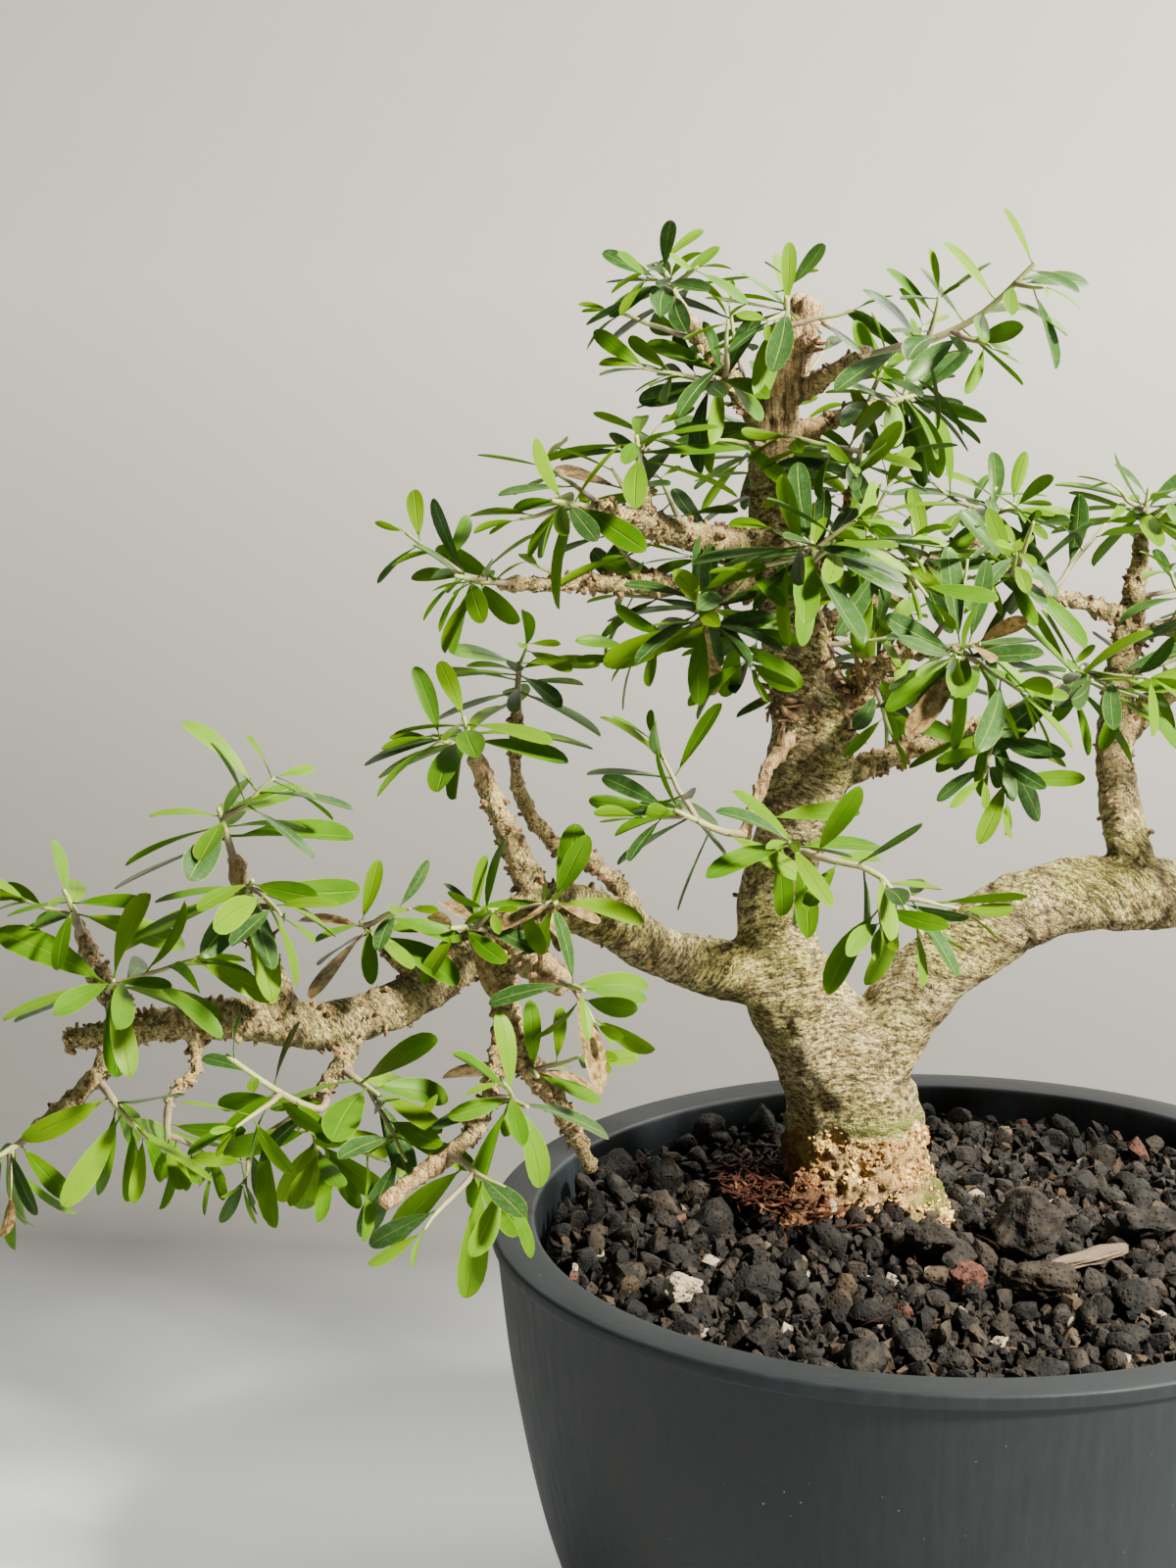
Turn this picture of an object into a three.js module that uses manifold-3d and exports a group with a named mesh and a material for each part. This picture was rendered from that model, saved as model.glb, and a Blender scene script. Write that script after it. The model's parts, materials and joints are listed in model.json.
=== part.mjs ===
// A bonsai tree in a round bowl: the pot and its drainage screens, the soil, loose stones, the woody
// tree, and its leafy shoots. Millimetres, +Z up, X to the right, Y to the back. The origin is the
// centre of the pot's underside.

import * as THREE from "three";
import { mergeVertices } from "three/addons/utils/BufferGeometryUtils.js";
import Module from "manifold-3d";

const wasm = await Module();
wasm.setup();

// ---------------------------------------------------------------- driving dimensions

const GAP = 0.35; // clearance between pieces that touch
const POT = { rim: 100, rimWidth: 10, band: 3.4, height: 112, foot: 62, wall: 7, floor: 8, sides: 44 };
const DRAIN = { radius: 9, offset: 32, screen: 32, holes: 3, hole: 7, thickness: 0.8 };
const SOIL = { top: POT.height - 5.5, mound: 2, moundRadius: 45 };
const ROOT = { angles: [-125, -35, 62, 128], start: 8, end: 2.4, reach: 34, drop: 20 };
const LIMB_STEP = 9; // spacing of the rings along a limb
const STEM = { base: 0.95, tip: 0.6, step: 7, sides: 5 };
const LEAF = { slender: 0.34, thickness: 0.7, widest: 0.62, bend: 0.1, spread: [102, 50],
  highest: 0.93, stagger: 0.03 };
const TURN = THREE.MathUtils.degToRad(90); // each pair of leaves is turned from the pair below
const CLEAR_TURNS = [0, 18, -18, 36, -36, 54, -54]; // turns tried until a leaf is clear of the rest

// Centre points of the wood with the radius at each: x, y, z, radius.
const LIMBS = {
  trunk: [
    [-20, 24, 96, 21], [-20, 22, 115, 16], [-22, 20, 136, 14.5], [-34, 18, 156, 11],
    [-39, 17, 175, 7.5], [-35, 16, 193, 7.8], [-30, 16, 213, 9.5], [-34, 16, 235, 7.5],
    [-39, 16, 258, 5.8], [-40, 14, 282, 4.2], [-33, 13, 312, 3.2],
  ],
  right_limb: [
    [-18, 20, 137, 9.5], [-9, 22, 154, 8.5], [6, 26, 168, 9], [27, 30, 178, 8.5],
    [51, 34, 178, 7.5], [84, 42, 186, 4.5],
  ],
  left_limb: [
    [-36, 17, 160, 7.5], [-58, 8, 166, 6], [-84, -13, 184, 5], [-98, -20, 178, 4.8],
    [-111, -28, 168, 4.5], [-129, -35, 162, 5], [-154, -42, 165, 4], [-184, -49, 161, 1.8],
  ],
  left_end: [[-170, -44, 163, 2.7], [-179, -41, 173, 2.2], [-182, -40, 183, 1.8]],
  left_riser: [[-139, -37, 166, 3], [-145, -36, 180, 2.4], [-150, -36, 199, 1.8]],
  left_drop: [[-124, -35, 162, 2.8], [-128, -39, 153, 2], [-136, -43, 143, 1.3]],
  left_corner: [[-171, -46, 161, 2.4], [-182, -52, 149, 2], [-190, -55, 142, 1.8]],
  left_twig: [[-158, -42, 163, 1.8], [-156, -47, 156, 1.3], [-162, -52, 149, 1.1]],
  left_ridged_twig: [[-111, -28, 169, 2.4], [-116, -27, 174, 1.8], [-121, -26, 178, 1.4]],
  mid_riser: [[-88, -14, 185, 3.4], [-96, -12, 202, 2.6], [-102, -11, 216, 1.9]],
  mid_back: [
    [-68, 0, 177, 2.4], [-74, 3, 187, 2], [-87, 5, 193, 1.8], [-95, 5, 205, 1.4], [-95, 5, 223, 1.2],
  ],
  mid_stub: [[-95, -20, 177, 3.6], [-80, -38, 174, 3]],
  mid_drop: [[-96, -20, 174, 3.2], [-92, -25, 156, 2.6], [-82, -21, 140, 2.1], [-76, -15, 124, 1.5]],
  low_twig: [[-94, -24, 167, 2], [-94, -38, 156, 1.8], [-96, -50, 146, 1.8], [-115, -62, 132, 1.7]],
  pale_twig: [[-31, 13, 220, 2], [-39, 0, 214, 1.5], [-44, -8, 199, 1.3]],
  crown_low_left: [[-37, 14, 249, 2.8], [-58, 2, 252, 2.2], [-97, -13, 254, 1.4]],
  crown_mid_left: [[-39, 12, 259, 3], [-57, -5, 264, 2.7], [-76, -16, 271, 2.2]],
  crown_mid_rise: [[-65, -10, 267, 1.8], [-66, -13, 277, 1.3]],
  crown_front_stub: [[-36, 12, 250, 2.4], [-30, -12, 260, 1.8]],
  crown_top_left: [[-40, 14, 281, 2.6], [-48, 7, 294, 2], [-58, -2, 310, 1.3]],
  crown_top_rise: [[-42, 12, 287, 1.8], [-37, 5, 306, 1.3]],
  crown_right_front: [[-37, 13, 291, 2.4], [-19, 0, 303, 1.4]],
  crown_right_back: [[-39, 16, 282, 2.4], [-18, 30, 288, 1.4]],
  right_mid: [[-28, 16, 221, 3], [-14, 12, 235, 2], [-3, 8, 238, 1.5]],
  right_high: [[-35, 17, 248, 2.6], [-24, 14, 263, 1.8], [-23, 12, 272, 1.4]],
  right_back: [[-31, 20, 239, 2.8], [-10, 42, 247, 2.2], [5, 52, 257, 1.4]],
  right_low: [[-26, 17, 206, 3], [-5, 24, 214, 2.2], [23, 28, 224, 1.3]],
  riser: [[42, 33, 180, 5.5], [36, 38, 209, 3.8], [39, 50, 234, 3], [42, 60, 256, 1.6]],
  riser_arm: [[36, 39, 211, 3.5], [50, 50, 223, 2.8], [69, 56, 233, 1.9]],
  riser_left: [[39, 51, 238, 2], [19, 38, 246, 1.4]],
  riser_right: [[39, 49, 234, 2], [52, 42, 239, 1.5]],
  right_end_rise: [[74, 40, 183, 4], [79, 30, 220, 1.9]],
  right_end: [[83, 42, 186, 3.8], [100, 36, 189, 1.8]],
  back_limb: [[-29, 18, 211, 3.4], [-26, 45, 213, 2.7], [-20, 88, 213, 1.7]],
  back_crown: [[-38, 17, 257, 2.8], [-41, 44, 262, 2.2], [-47, 78, 268, 1.5]],
};

// Each shoot leaves a limb at a fraction of its length, passes through the points, and carries pairs
// of leaves. hang draws its leaves down.
const SHOOTS = {
  left_riser_top: { limb: "left_riser", at: 1, to: [[-152, -39, 209]], pairs: 5, leaf: 21 },
  left_riser_low: { limb: "left_riser", at: 0.72, to: [[-144, -46, 196]], pairs: 5, leaf: 21 },
  left_end_top: { limb: "left_end", at: 1, to: [[-184, -45, 192]], pairs: 4, leaf: 17 },
  left_end_mid: { limb: "left_end", at: 0.4, to: [[-172, -54, 176]], pairs: 5, leaf: 21 },
  left_corner_far: { limb: "left_corner", at: 1, to: [[-196, -60, 139]], pairs: 5, leaf: 19, hang: 0.4 },
  left_corner_near: {
    limb: "left_corner", at: 0.35, to: [[-171, -58, 150], [-164, -61, 144]],
    pairs: 5, leaf: 22, hang: 0.5,
  },
  left_twig: { limb: "left_twig", at: 1, to: [[-161, -56, 140]], pairs: 3, leaf: 18, hang: 0.4 },
  left_drop_end: {
    limb: "left_drop", at: 1, to: [[-145, -45, 139], [-154, -48, 134]], pairs: 3, leaf: 16, hang: 0.4,
  },
  left_drop_low: { limb: "left_drop", at: 0.85, to: [[-130, -50, 138]], pairs: 5, leaf: 20, hang: 0.3 },
  left_drop_side: { limb: "left_drop", at: 0.4, to: [[-118, -47, 151]], pairs: 4, leaf: 22, hang: 0.3 },
  left_green: {
    limb: "left_drop", at: 0.6, to: [[-129, -52, 149], [-136, -60, 155], [-147, -67, 166]],
    pairs: 6, leaf: 14,
  },
  left_ridged: { limb: "left_ridged_twig", at: 1, to: [[-124, -31, 184]], pairs: 4, leaf: 17 },
  mid_riser: { limb: "mid_riser", at: 1, to: [[-104, -14, 225]], pairs: 6, leaf: 20 },
  mid_back: { limb: "mid_back", at: 1, to: [[-95, 8, 232]], pairs: 5, leaf: 16 },
  mid_stub: { limb: "mid_stub", at: 1, to: [[-75, -46, 175]], pairs: 4, leaf: 16 },
  mid_drop: { limb: "mid_drop", at: 0.45, to: [[-86, -34, 152]], pairs: 4, leaf: 17, hang: 0.2 },
  junction_front: { limb: "left_limb", at: 0.36, to: [[-83, -26, 188], [-82, -34, 190]], pairs: 6, leaf: 15 },
  junction_left: { limb: "left_limb", at: 0.43, to: [[-104, -34, 184]], pairs: 4, leaf: 16 },
  low_twig: { limb: "low_twig", at: 0.42, to: [[-86, -54, 152]], pairs: 5, leaf: 19, hang: 0.2 },
  low_pendant: {
    limb: "low_twig", at: 0.68, to: [[-95, -65, 141], [-87, -74, 141]], pairs: 3, leaf: 26, hang: 0.9,
  },
  pale_fork: { limb: "pale_twig", at: 1, to: [[-50, -17, 203], [-58, -22, 208]], pairs: 4, leaf: 18 },
  front_long: {
    limb: "pale_twig", at: 0.75, to: [[-36, -15, 201], [-27, -24, 199], [-15, -29, 197], [-4, -34, 184]],
    pairs: 9, leaf: 17,
  },
  crown_far_left: { limb: "crown_low_left", at: 1, to: [[-105, -16, 256]], pairs: 6, leaf: 15 },
  crown_under: {
    limb: "crown_low_left", at: 0.3, to: [[-53, -8, 246], [-52, -18, 248]], pairs: 5, leaf: 17, hang: 0.3,
  },
  crown_left: { limb: "crown_mid_left", at: 1, to: [[-83, -21, 273]], pairs: 5, leaf: 17 },
  crown_left_rise: { limb: "crown_mid_rise", at: 1, to: [[-67, -15, 286]], pairs: 6, leaf: 18 },
  crown_front: { limb: "crown_front_stub", at: 1, to: [[-30, -21, 265]], pairs: 5, leaf: 18 },
  trunk_high: { limb: "right_high", at: 1, to: [[-21, 9, 281]], pairs: 5, leaf: 17 },
  trunk_mid: { limb: "right_high", at: 0.5, to: [[-18, 3, 263]], pairs: 5, leaf: 17 },
  top_left: { limb: "crown_top_left", at: 1, to: [[-62, -5, 319]], pairs: 6, leaf: 14 },
  top_left_mid: { limb: "crown_top_left", at: 0.45, to: [[-51, -4, 297]], pairs: 5, leaf: 16 },
  top_front: { limb: "crown_top_rise", at: 1, to: [[-37, 0, 313]], pairs: 5, leaf: 15 },
  top_right: {
    limb: "crown_right_front", at: 1, to: [[-9, -5, 305], [3, -8, 311], [16, -12, 324]], pairs: 8, leaf: 15,
  },
  crown_right: { limb: "crown_right_back", at: 1, to: [[-9, 33, 290]], pairs: 6, leaf: 18, hang: 0.3 },
  right_mid: { limb: "right_mid", at: 1, to: [[5, 4, 240]], pairs: 6, leaf: 19, hang: 0.2 },
  right_back: { limb: "right_back", at: 1, to: [[8, 52, 266]], pairs: 5, leaf: 16 },
  right_back_low: { limb: "right_back", at: 0.6, to: [[-7, 35, 254]], pairs: 5, leaf: 17 },
  right_back_end: { limb: "riser_left", at: 1, to: [[11, 34, 251]], pairs: 5, leaf: 15 },
  right_low_end: { limb: "right_low", at: 1, to: [[28, 26, 231]], pairs: 6, leaf: 19 },
  right_low_mid: { limb: "right_low", at: 0.65, to: [[10, 15, 219]], pairs: 4, leaf: 17, hang: 0.4 },
  riser_top: { limb: "riser", at: 1, to: [[43, 61, 265]], pairs: 5, leaf: 15 },
  riser_mid: { limb: "riser_right", at: 1, to: [[56, 38, 245]], pairs: 5, leaf: 15 },
  riser_arm: { limb: "riser_arm", at: 1, to: [[76, 54, 240]], pairs: 5, leaf: 19 },
  right_end_high: { limb: "right_end_rise", at: 1, to: [[81, 27, 230]], pairs: 6, leaf: 20 },
  right_end_low: { limb: "right_end", at: 1, to: [[109, 34, 193]], pairs: 6, leaf: 21 },
  back_limb: { limb: "back_limb", at: 1, to: [[-18, 97, 216]], pairs: 6, leaf: 20 },
  back_crown: { limb: "back_crown", at: 1, to: [[-49, 87, 273]], pairs: 6, leaf: 18 },
};

// Stones on the soil: place, half sizes, turn in degrees and colour.
const STONES = {
  stone_large: { place: [19, -6], half: [7.5, 7, 6.5], turn: 20, colour: 0x3a3b3d },
  stone_slab: { place: [-2, -14], half: [8, 4.5, 3.5], turn: 55, colour: 0x47484a },
  stone_right: { place: [46, 0], half: [6.5, 5, 4.5], turn: -15, colour: 0x3a3b3d },
  stone_brown: { place: [22, -34], half: [7.5, 4.5, 4], turn: 5, colour: 0x5a4638 },
  stone_red: { place: [6, -34], half: [4, 3, 3], turn: 30, colour: 0x8a4a33 },
  stone_pale: { place: [-54, -48], half: [4.5, 3.5, 3], turn: -30, colour: 0xc9b48c },
};
const WOOD_CHIP = { from: [26, -24], to: [38, -16], radius: 2, colour: 0x7d6548 };

// ---------------------------------------------------------------- solids

function toSolid(geometry) {
  geometry.deleteAttribute("normal");
  geometry.deleteAttribute("uv");
  const merged = mergeVertices(geometry);
  const index = merged.index.array;
  const triVerts = [];
  for (let i = 0; i < index.length; i += 3) {
    const [a, b, c] = index.slice(i, i + 3);
    if (a !== b && b !== c && c !== a) triVerts.push(a, b, c);
  }
  const vertProperties = new Float32Array(merged.attributes.position.array);
  return new wasm.Manifold(
    new wasm.Mesh({ numProp: 3, vertProperties, triVerts: new Uint32Array(triVerts) }),
  );
}

function toMesh(name, solid, colour, roughness = 0.85) {
  const { vertProperties, triVerts } = solid.getMesh();
  const geometry = new THREE.BufferGeometry();
  geometry.setAttribute("position", new THREE.BufferAttribute(vertProperties, 3));
  geometry.setIndex(new THREE.BufferAttribute(triVerts, 1));
  geometry.computeVertexNormals();
  const material = new THREE.MeshStandardMaterial({ color: colour, roughness, metalness: 0 });
  const mesh = new THREE.Mesh(geometry, material);
  mesh.name = name;
  return mesh;
}

const joined = (solids) => solids.reduce((whole, solid) => whole.add(solid));

function turned(outline, sides) {
  const points = outline.map(([radius, height]) => new THREE.Vector2(radius, height));
  return toSolid(new THREE.LatheGeometry(points, sides).rotateX(Math.PI / 2));
}

// ---------------------------------------------------------------- wood

function limbCurve(points) {
  const places = points.map(([x, y, z]) => new THREE.Vector3(x, y, z));
  return new THREE.CatmullRomCurve3(places, false, "centripetal");
}

function radiusAlong(points, t) {
  const place = t * (points.length - 1);
  const index = Math.min(Math.floor(place), points.length - 2);
  return THREE.MathUtils.lerp(points[index][3], points[index + 1][3], place - index);
}

// A tapered tube: a thin tube along the curve, with each ring then opened to the limb's own radius.
// grow makes it larger all round, its ends too.
function taperedTube(points, { step = LIMB_STEP, sides, grow = 0 }) {
  const curve = limbCurve(points);
  const steps = Math.max(2, Math.round(curve.getLength() / step));
  const thin = 0.1;
  const section = new THREE.Shape(
    Array.from({ length: sides }, (_, side) => {
      const angle = (side / sides) * 2 * Math.PI;
      return new THREE.Vector2(thin * Math.cos(angle), thin * Math.sin(angle));
    }),
  );
  const geometry = new THREE.ExtrudeGeometry(section, { steps, bevelEnabled: false, extrudePath: curve });
  const centres = curve.getSpacedPoints(steps);
  const position = geometry.attributes.position;
  const vertex = new THREE.Vector3();
  for (let i = 0; i < position.count; i += 1) {
    vertex.fromBufferAttribute(position, i);
    const distances = centres.map((centre) => centre.distanceToSquared(vertex));
    const ring = distances.indexOf(Math.min(...distances));
    const radius = radiusAlong(points, curve.getUtoTmapping(ring / steps)) + grow;
    vertex.sub(centres[ring]).multiplyScalar(radius / thin).add(centres[ring]);
    if (ring === 0) vertex.addScaledVector(curve.getTangentAt(0), -grow);
    if (ring === steps) vertex.addScaledVector(curve.getTangentAt(1), grow);
    position.setXYZ(i, vertex.x, vertex.y, vertex.z);
  }
  return toSolid(geometry);
}

function sidesFor(points) {
  const thickest = Math.max(...points.map((point) => point[3]));
  if (thickest > 12) return 12;
  if (thickest > 4) return 9;
  return 6;
}

function rootPoints(angle) {
  const [x, y, z] = LIMBS.trunk[1];
  const turn = THREE.MathUtils.degToRad(angle);
  const along = (reach, drop, radius) => [
    x + reach * Math.cos(turn), y + reach * Math.sin(turn), z + 4 - drop, radius,
  ];
  return [along(4, 0, ROOT.start), along(ROOT.reach * 0.6, ROOT.drop * 0.6, ROOT.start * 0.72),
    along(ROOT.reach, ROOT.drop, ROOT.end)];
}

const woodParts = [...Object.values(LIMBS), ...ROOT.angles.map(rootPoints)];
const wood = joined(woodParts.map((points) => taperedTube(points, { sides: sidesFor(points) })));
const woodClearance = joined(
  woodParts.map((points) => taperedTube(points, { sides: sidesFor(points), grow: GAP })),
);

// ---------------------------------------------------------------- pot, screens, soil

function makePot() {
  const wallTop = POT.height - POT.band;
  const wall = new THREE.SplineCurve([
    new THREE.Vector2(POT.foot, 0), new THREE.Vector2(79, 20), new THREE.Vector2(88, 42),
    new THREE.Vector2(95, 76), new THREE.Vector2(POT.rim - 0.8, wallTop),
  ]).getPoints(6);
  const inner = wall.filter((point) => point.y > POT.floor + 4).reverse();
  const rimInner = POT.rim - POT.rimWidth;
  const outline = [
    [0, 0],
    ...wall.map((point) => [point.x, point.y]),
    [POT.rim, wallTop],
    [POT.rim, POT.height - 0.8],
    [POT.rim - 0.8, POT.height],
    [rimInner + 0.8, POT.height],
    [rimInner, POT.height - 0.8],
    ...inner.map((point) => [Math.min(point.x - POT.wall, rimInner), point.y]),
    [POT.foot - 2, POT.floor],
    [0, POT.floor],
  ];
  const drills = [-1, 1].map((side) => {
    const drill = new THREE.CylinderGeometry(DRAIN.radius, DRAIN.radius, 4 * POT.floor, 24);
    return toSolid(drill.rotateX(Math.PI / 2).translate(side * DRAIN.offset, 0, 0));
  });
  return turned(outline, POT.sides).subtract(joined(drills));
}

function makeScreen(side) {
  const lift = POT.floor + GAP + DRAIN.thickness / 2;
  const slab = (width, thickness, x, y) => {
    const box = new THREE.BoxGeometry(width, width, thickness);
    return toSolid(box.translate(side * DRAIN.offset + x, y, lift));
  };
  const pitch = DRAIN.screen / DRAIN.holes;
  const places = Array.from({ length: DRAIN.holes }, (_, i) => (i - (DRAIN.holes - 1) / 2) * pitch);
  const holes = places.flatMap((x) => places.map((y) => slab(DRAIN.hole, 2 * DRAIN.thickness, x, y)));
  return slab(DRAIN.screen, DRAIN.thickness, 0, 0).subtract(joined(holes));
}

function makeSoil() {
  const bottom = POT.floor + 2 * GAP + DRAIN.thickness;
  const wide = POT.rim - POT.rimWidth - GAP - 2;
  const outline = [
    [0, bottom], [POT.foot - 4, bottom], [70, 22], [79, 42], [86, 76], [wide, SOIL.top - 4],
    [wide, SOIL.top], [SOIL.moundRadius, SOIL.top + SOIL.mound / 2], [0, SOIL.top + SOIL.mound],
  ];
  return turned(outline, POT.sides).subtract(woodClearance);
}

// ---------------------------------------------------------------- stones and wood chip

function makeStone({ place: [x, y], half, turn }) {
  const stone = new THREE.IcosahedronGeometry(1, 1);
  const position = stone.attributes.position;
  const vertex = new THREE.Vector3();
  for (let i = 0; i < position.count; i += 1) {
    vertex.fromBufferAttribute(position, i);
    const lump = 1 + 0.1 * Math.sin(4 * vertex.x + x) * Math.cos(3 * vertex.y + 5 * vertex.z + y);
    vertex.multiplyScalar(lump);
    position.setXYZ(i, vertex.x, vertex.y, vertex.z);
  }
  const lift = SOIL.top + SOIL.mound + 1.1 * half[2];
  stone.scale(...half).rotateZ(THREE.MathUtils.degToRad(turn)).translate(x, y, lift);
  return toSolid(stone);
}

function makeWoodChip() {
  const lift = SOIL.top + SOIL.mound + WOOD_CHIP.radius + GAP;
  const ends = [WOOD_CHIP.from, WOOD_CHIP.to].map(([x, y]) => [x, y, lift, WOOD_CHIP.radius]);
  return taperedTube(ends, { sides: 6 });
}

// ---------------------------------------------------------------- leaves

function leafSolid({ base, along, normal, length }, start = 0) {
  const leaf = new THREE.LatheGeometry(
    [[0, start], [1, LEAF.widest], [0, 1]].map(([x, y]) => new THREE.Vector2(x, y)), 4,
  );
  leaf.scale((length * LEAF.slender) / 2, length, LEAF.thickness / 2);
  const position = leaf.attributes.position;
  for (let i = 0; i < position.count; i += 1) {
    const reach = position.getY(i) / length;
    position.setZ(i, position.getZ(i) - LEAF.bend * length * reach * reach);
  }
  const side = new THREE.Vector3().crossVectors(along, normal);
  const frame = new THREE.Matrix4().makeBasis(side, along, normal).setPosition(base);
  return toSolid(leaf.applyMatrix4(frame));
}

// The leaf on one side of a pair: where it starts, its direction and its upper face.
function leafPlace(curve, { pairs, leaf, hang = 0.08 }, pair, side, extraTurn) {
  const up = new THREE.Vector3(0, 0, 1);
  const height = pairs > 1 ? pair / (pairs - 1) : 1;
  const lowest = Math.min(0.45, 8 / curve.getLength());
  const u = THREE.MathUtils.lerp(lowest, LEAF.highest, height) - LEAF.stagger * side;
  const axis = curve.getTangentAt(u);
  const reference = Math.abs(axis.z) > 0.8 ? new THREE.Vector3(0, -1, 0) : up;
  const outward = new THREE.Vector3().crossVectors(axis, reference).normalize();
  outward.applyAxisAngle(axis, pair * TURN + side * Math.PI + extraTurn);
  const spread = THREE.MathUtils.degToRad(THREE.MathUtils.lerp(...LEAF.spread, height));
  const along = axis.clone().multiplyScalar(Math.cos(spread)).addScaledVector(outward, Math.sin(spread));
  along.addScaledVector(up, -hang).normalize();
  const normal = axis.clone().addScaledVector(up, 0.7);
  normal.addScaledVector(along, -normal.dot(along)).normalize();
  const uneven = 0.94 + 0.14 * Math.sin(7.3 * pair + 2.1 * side + leaf + curve.getLength());
  const length = leaf * uneven * THREE.MathUtils.lerp(1, 0.66, height * height);
  return { base: curve.getPointAt(u), along, normal, length };
}

function boxesApart(a, b) {
  return [0, 1, 2].some((axis) => a.min[axis] > b.max[axis] + GAP || b.min[axis] > a.max[axis] + GAP);
}

const withBox = (solid) => ({ solid, box: solid.boundingBox() });

function isClear(candidate, others) {
  return others.every(
    ({ solid, box }) => boxesApart(candidate.box, box) || candidate.solid.minGap(solid, 2 * GAP) > GAP,
  );
}

const shoots = Object.entries(SHOOTS).map(([name, shoot]) => {
  const start = limbCurve(LIMBS[shoot.limb]).getPointAt(shoot.at);
  const path = [start.toArray(), ...shoot.to];
  const points = path.map((point, i) => [
    ...point, THREE.MathUtils.lerp(STEM.base, STEM.tip, i / (path.length - 1)),
  ]);
  const stem = taperedTube(points, { step: STEM.step, sides: STEM.sides }).subtract(woodClearance);
  return { name, shoot, curve: limbCurve(points), stem: withBox(stem), leaves: [] };
});

// Leaves are placed pair by pair, each where it is clear of the pot, the wood and all other leaves.
function growLeaves(fixed) {
  const placed = [];
  for (const current of shoots) {
    const stems = shoots.filter((other) => other !== current).map((other) => other.stem);
    const otherLeaves = placed.slice();
    const ownBlades = [];
    for (let pair = 0; pair < current.shoot.pairs; pair += 1) {
      for (const side of [0, 1]) {
        for (const turn of CLEAR_TURNS) {
          const extra = THREE.MathUtils.degToRad(turn);
          const place = leafPlace(current.curve, current.shoot, pair, side, extra);
          const leaf = withBox(leafSolid(place));
          const blade = withBox(leafSolid(place, 0.35));
          if (!isClear(leaf, [...fixed, ...stems, ...otherLeaves]) || !isClear(blade, ownBlades)) continue;
          current.leaves.push(leaf.solid);
          ownBlades.push(blade);
          placed.push(leaf);
          break;
        }
      }
    }
  }
}

// ---------------------------------------------------------------- the whole

const pot = makePot();
const soil = makeSoil();
const stones = Object.entries(STONES).map(([name, stone]) => [name, makeStone(stone), stone.colour]);
growLeaves([pot, soil, wood, ...stones.map(([, solid]) => solid)].map(withBox));

const group = new THREE.Group();
group.name = "bonsai_tree_in_pot";
group.add(toMesh("pot", pot, 0x3b3d40, 0.55));
group.add(toMesh("drainage_screen_left", makeScreen(-1), 0x20242a, 0.6));
group.add(toMesh("drainage_screen_right", makeScreen(1), 0x20242a, 0.6));
group.add(toMesh("soil", soil, 0x2c2b2a, 0.95));
group.add(toMesh("trunk_and_branches", wood, 0x8a7a60));
for (const [name, solid, colour] of stones) group.add(toMesh(name, solid, colour));
group.add(toMesh("wood_chip", makeWoodChip(), WOOD_CHIP.colour));
for (const { name, stem, leaves } of shoots) {
  group.add(toMesh(`shoot_${name}`, joined([stem.solid, ...leaves]), 0x7f9a3c, 0.5));
}

export default group;
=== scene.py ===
"""Bonsai tree in a round bowl: the finished surfaces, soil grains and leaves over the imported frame."""

import heapq
import json
import math
import random
from itertools import product
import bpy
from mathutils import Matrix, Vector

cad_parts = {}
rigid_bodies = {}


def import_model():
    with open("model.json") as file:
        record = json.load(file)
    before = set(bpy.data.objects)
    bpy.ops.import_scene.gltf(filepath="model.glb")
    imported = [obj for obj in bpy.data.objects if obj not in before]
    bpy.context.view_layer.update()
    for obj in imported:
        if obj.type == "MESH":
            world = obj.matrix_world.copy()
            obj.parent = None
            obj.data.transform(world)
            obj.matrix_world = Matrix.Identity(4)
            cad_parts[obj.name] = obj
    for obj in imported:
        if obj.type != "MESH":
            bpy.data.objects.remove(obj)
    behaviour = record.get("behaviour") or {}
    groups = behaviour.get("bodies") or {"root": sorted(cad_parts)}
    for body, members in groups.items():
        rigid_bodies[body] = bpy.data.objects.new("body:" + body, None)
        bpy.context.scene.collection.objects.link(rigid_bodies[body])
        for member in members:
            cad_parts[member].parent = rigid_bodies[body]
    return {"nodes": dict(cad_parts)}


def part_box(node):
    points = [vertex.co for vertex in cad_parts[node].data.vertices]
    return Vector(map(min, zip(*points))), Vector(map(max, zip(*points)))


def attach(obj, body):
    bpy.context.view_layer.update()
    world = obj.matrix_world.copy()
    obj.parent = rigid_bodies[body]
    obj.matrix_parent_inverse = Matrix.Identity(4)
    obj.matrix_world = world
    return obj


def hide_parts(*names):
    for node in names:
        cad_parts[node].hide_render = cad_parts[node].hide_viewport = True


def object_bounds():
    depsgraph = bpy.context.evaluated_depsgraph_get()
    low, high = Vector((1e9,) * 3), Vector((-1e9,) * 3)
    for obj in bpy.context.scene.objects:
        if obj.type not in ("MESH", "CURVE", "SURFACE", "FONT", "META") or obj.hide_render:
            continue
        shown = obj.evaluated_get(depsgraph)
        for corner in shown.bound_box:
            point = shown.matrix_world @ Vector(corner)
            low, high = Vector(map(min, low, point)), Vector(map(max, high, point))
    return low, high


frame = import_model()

from types import SimpleNamespace

import bmesh
import bpy
import numpy as np
from mathutils import Euler, Matrix, Vector, noise
from mathutils.bvhtree import BVHTree

bl_info = {
    "name": "Potted bonsai tree",
    "version": (1, 0, 0),
    "blender": (4, 5, 0),
    "location": "View3D > Sidebar > Bonsai",
    "description": "Builds the finished bonsai tree in its bowl over the packed frame",
    "category": "Add Mesh",
}

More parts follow.
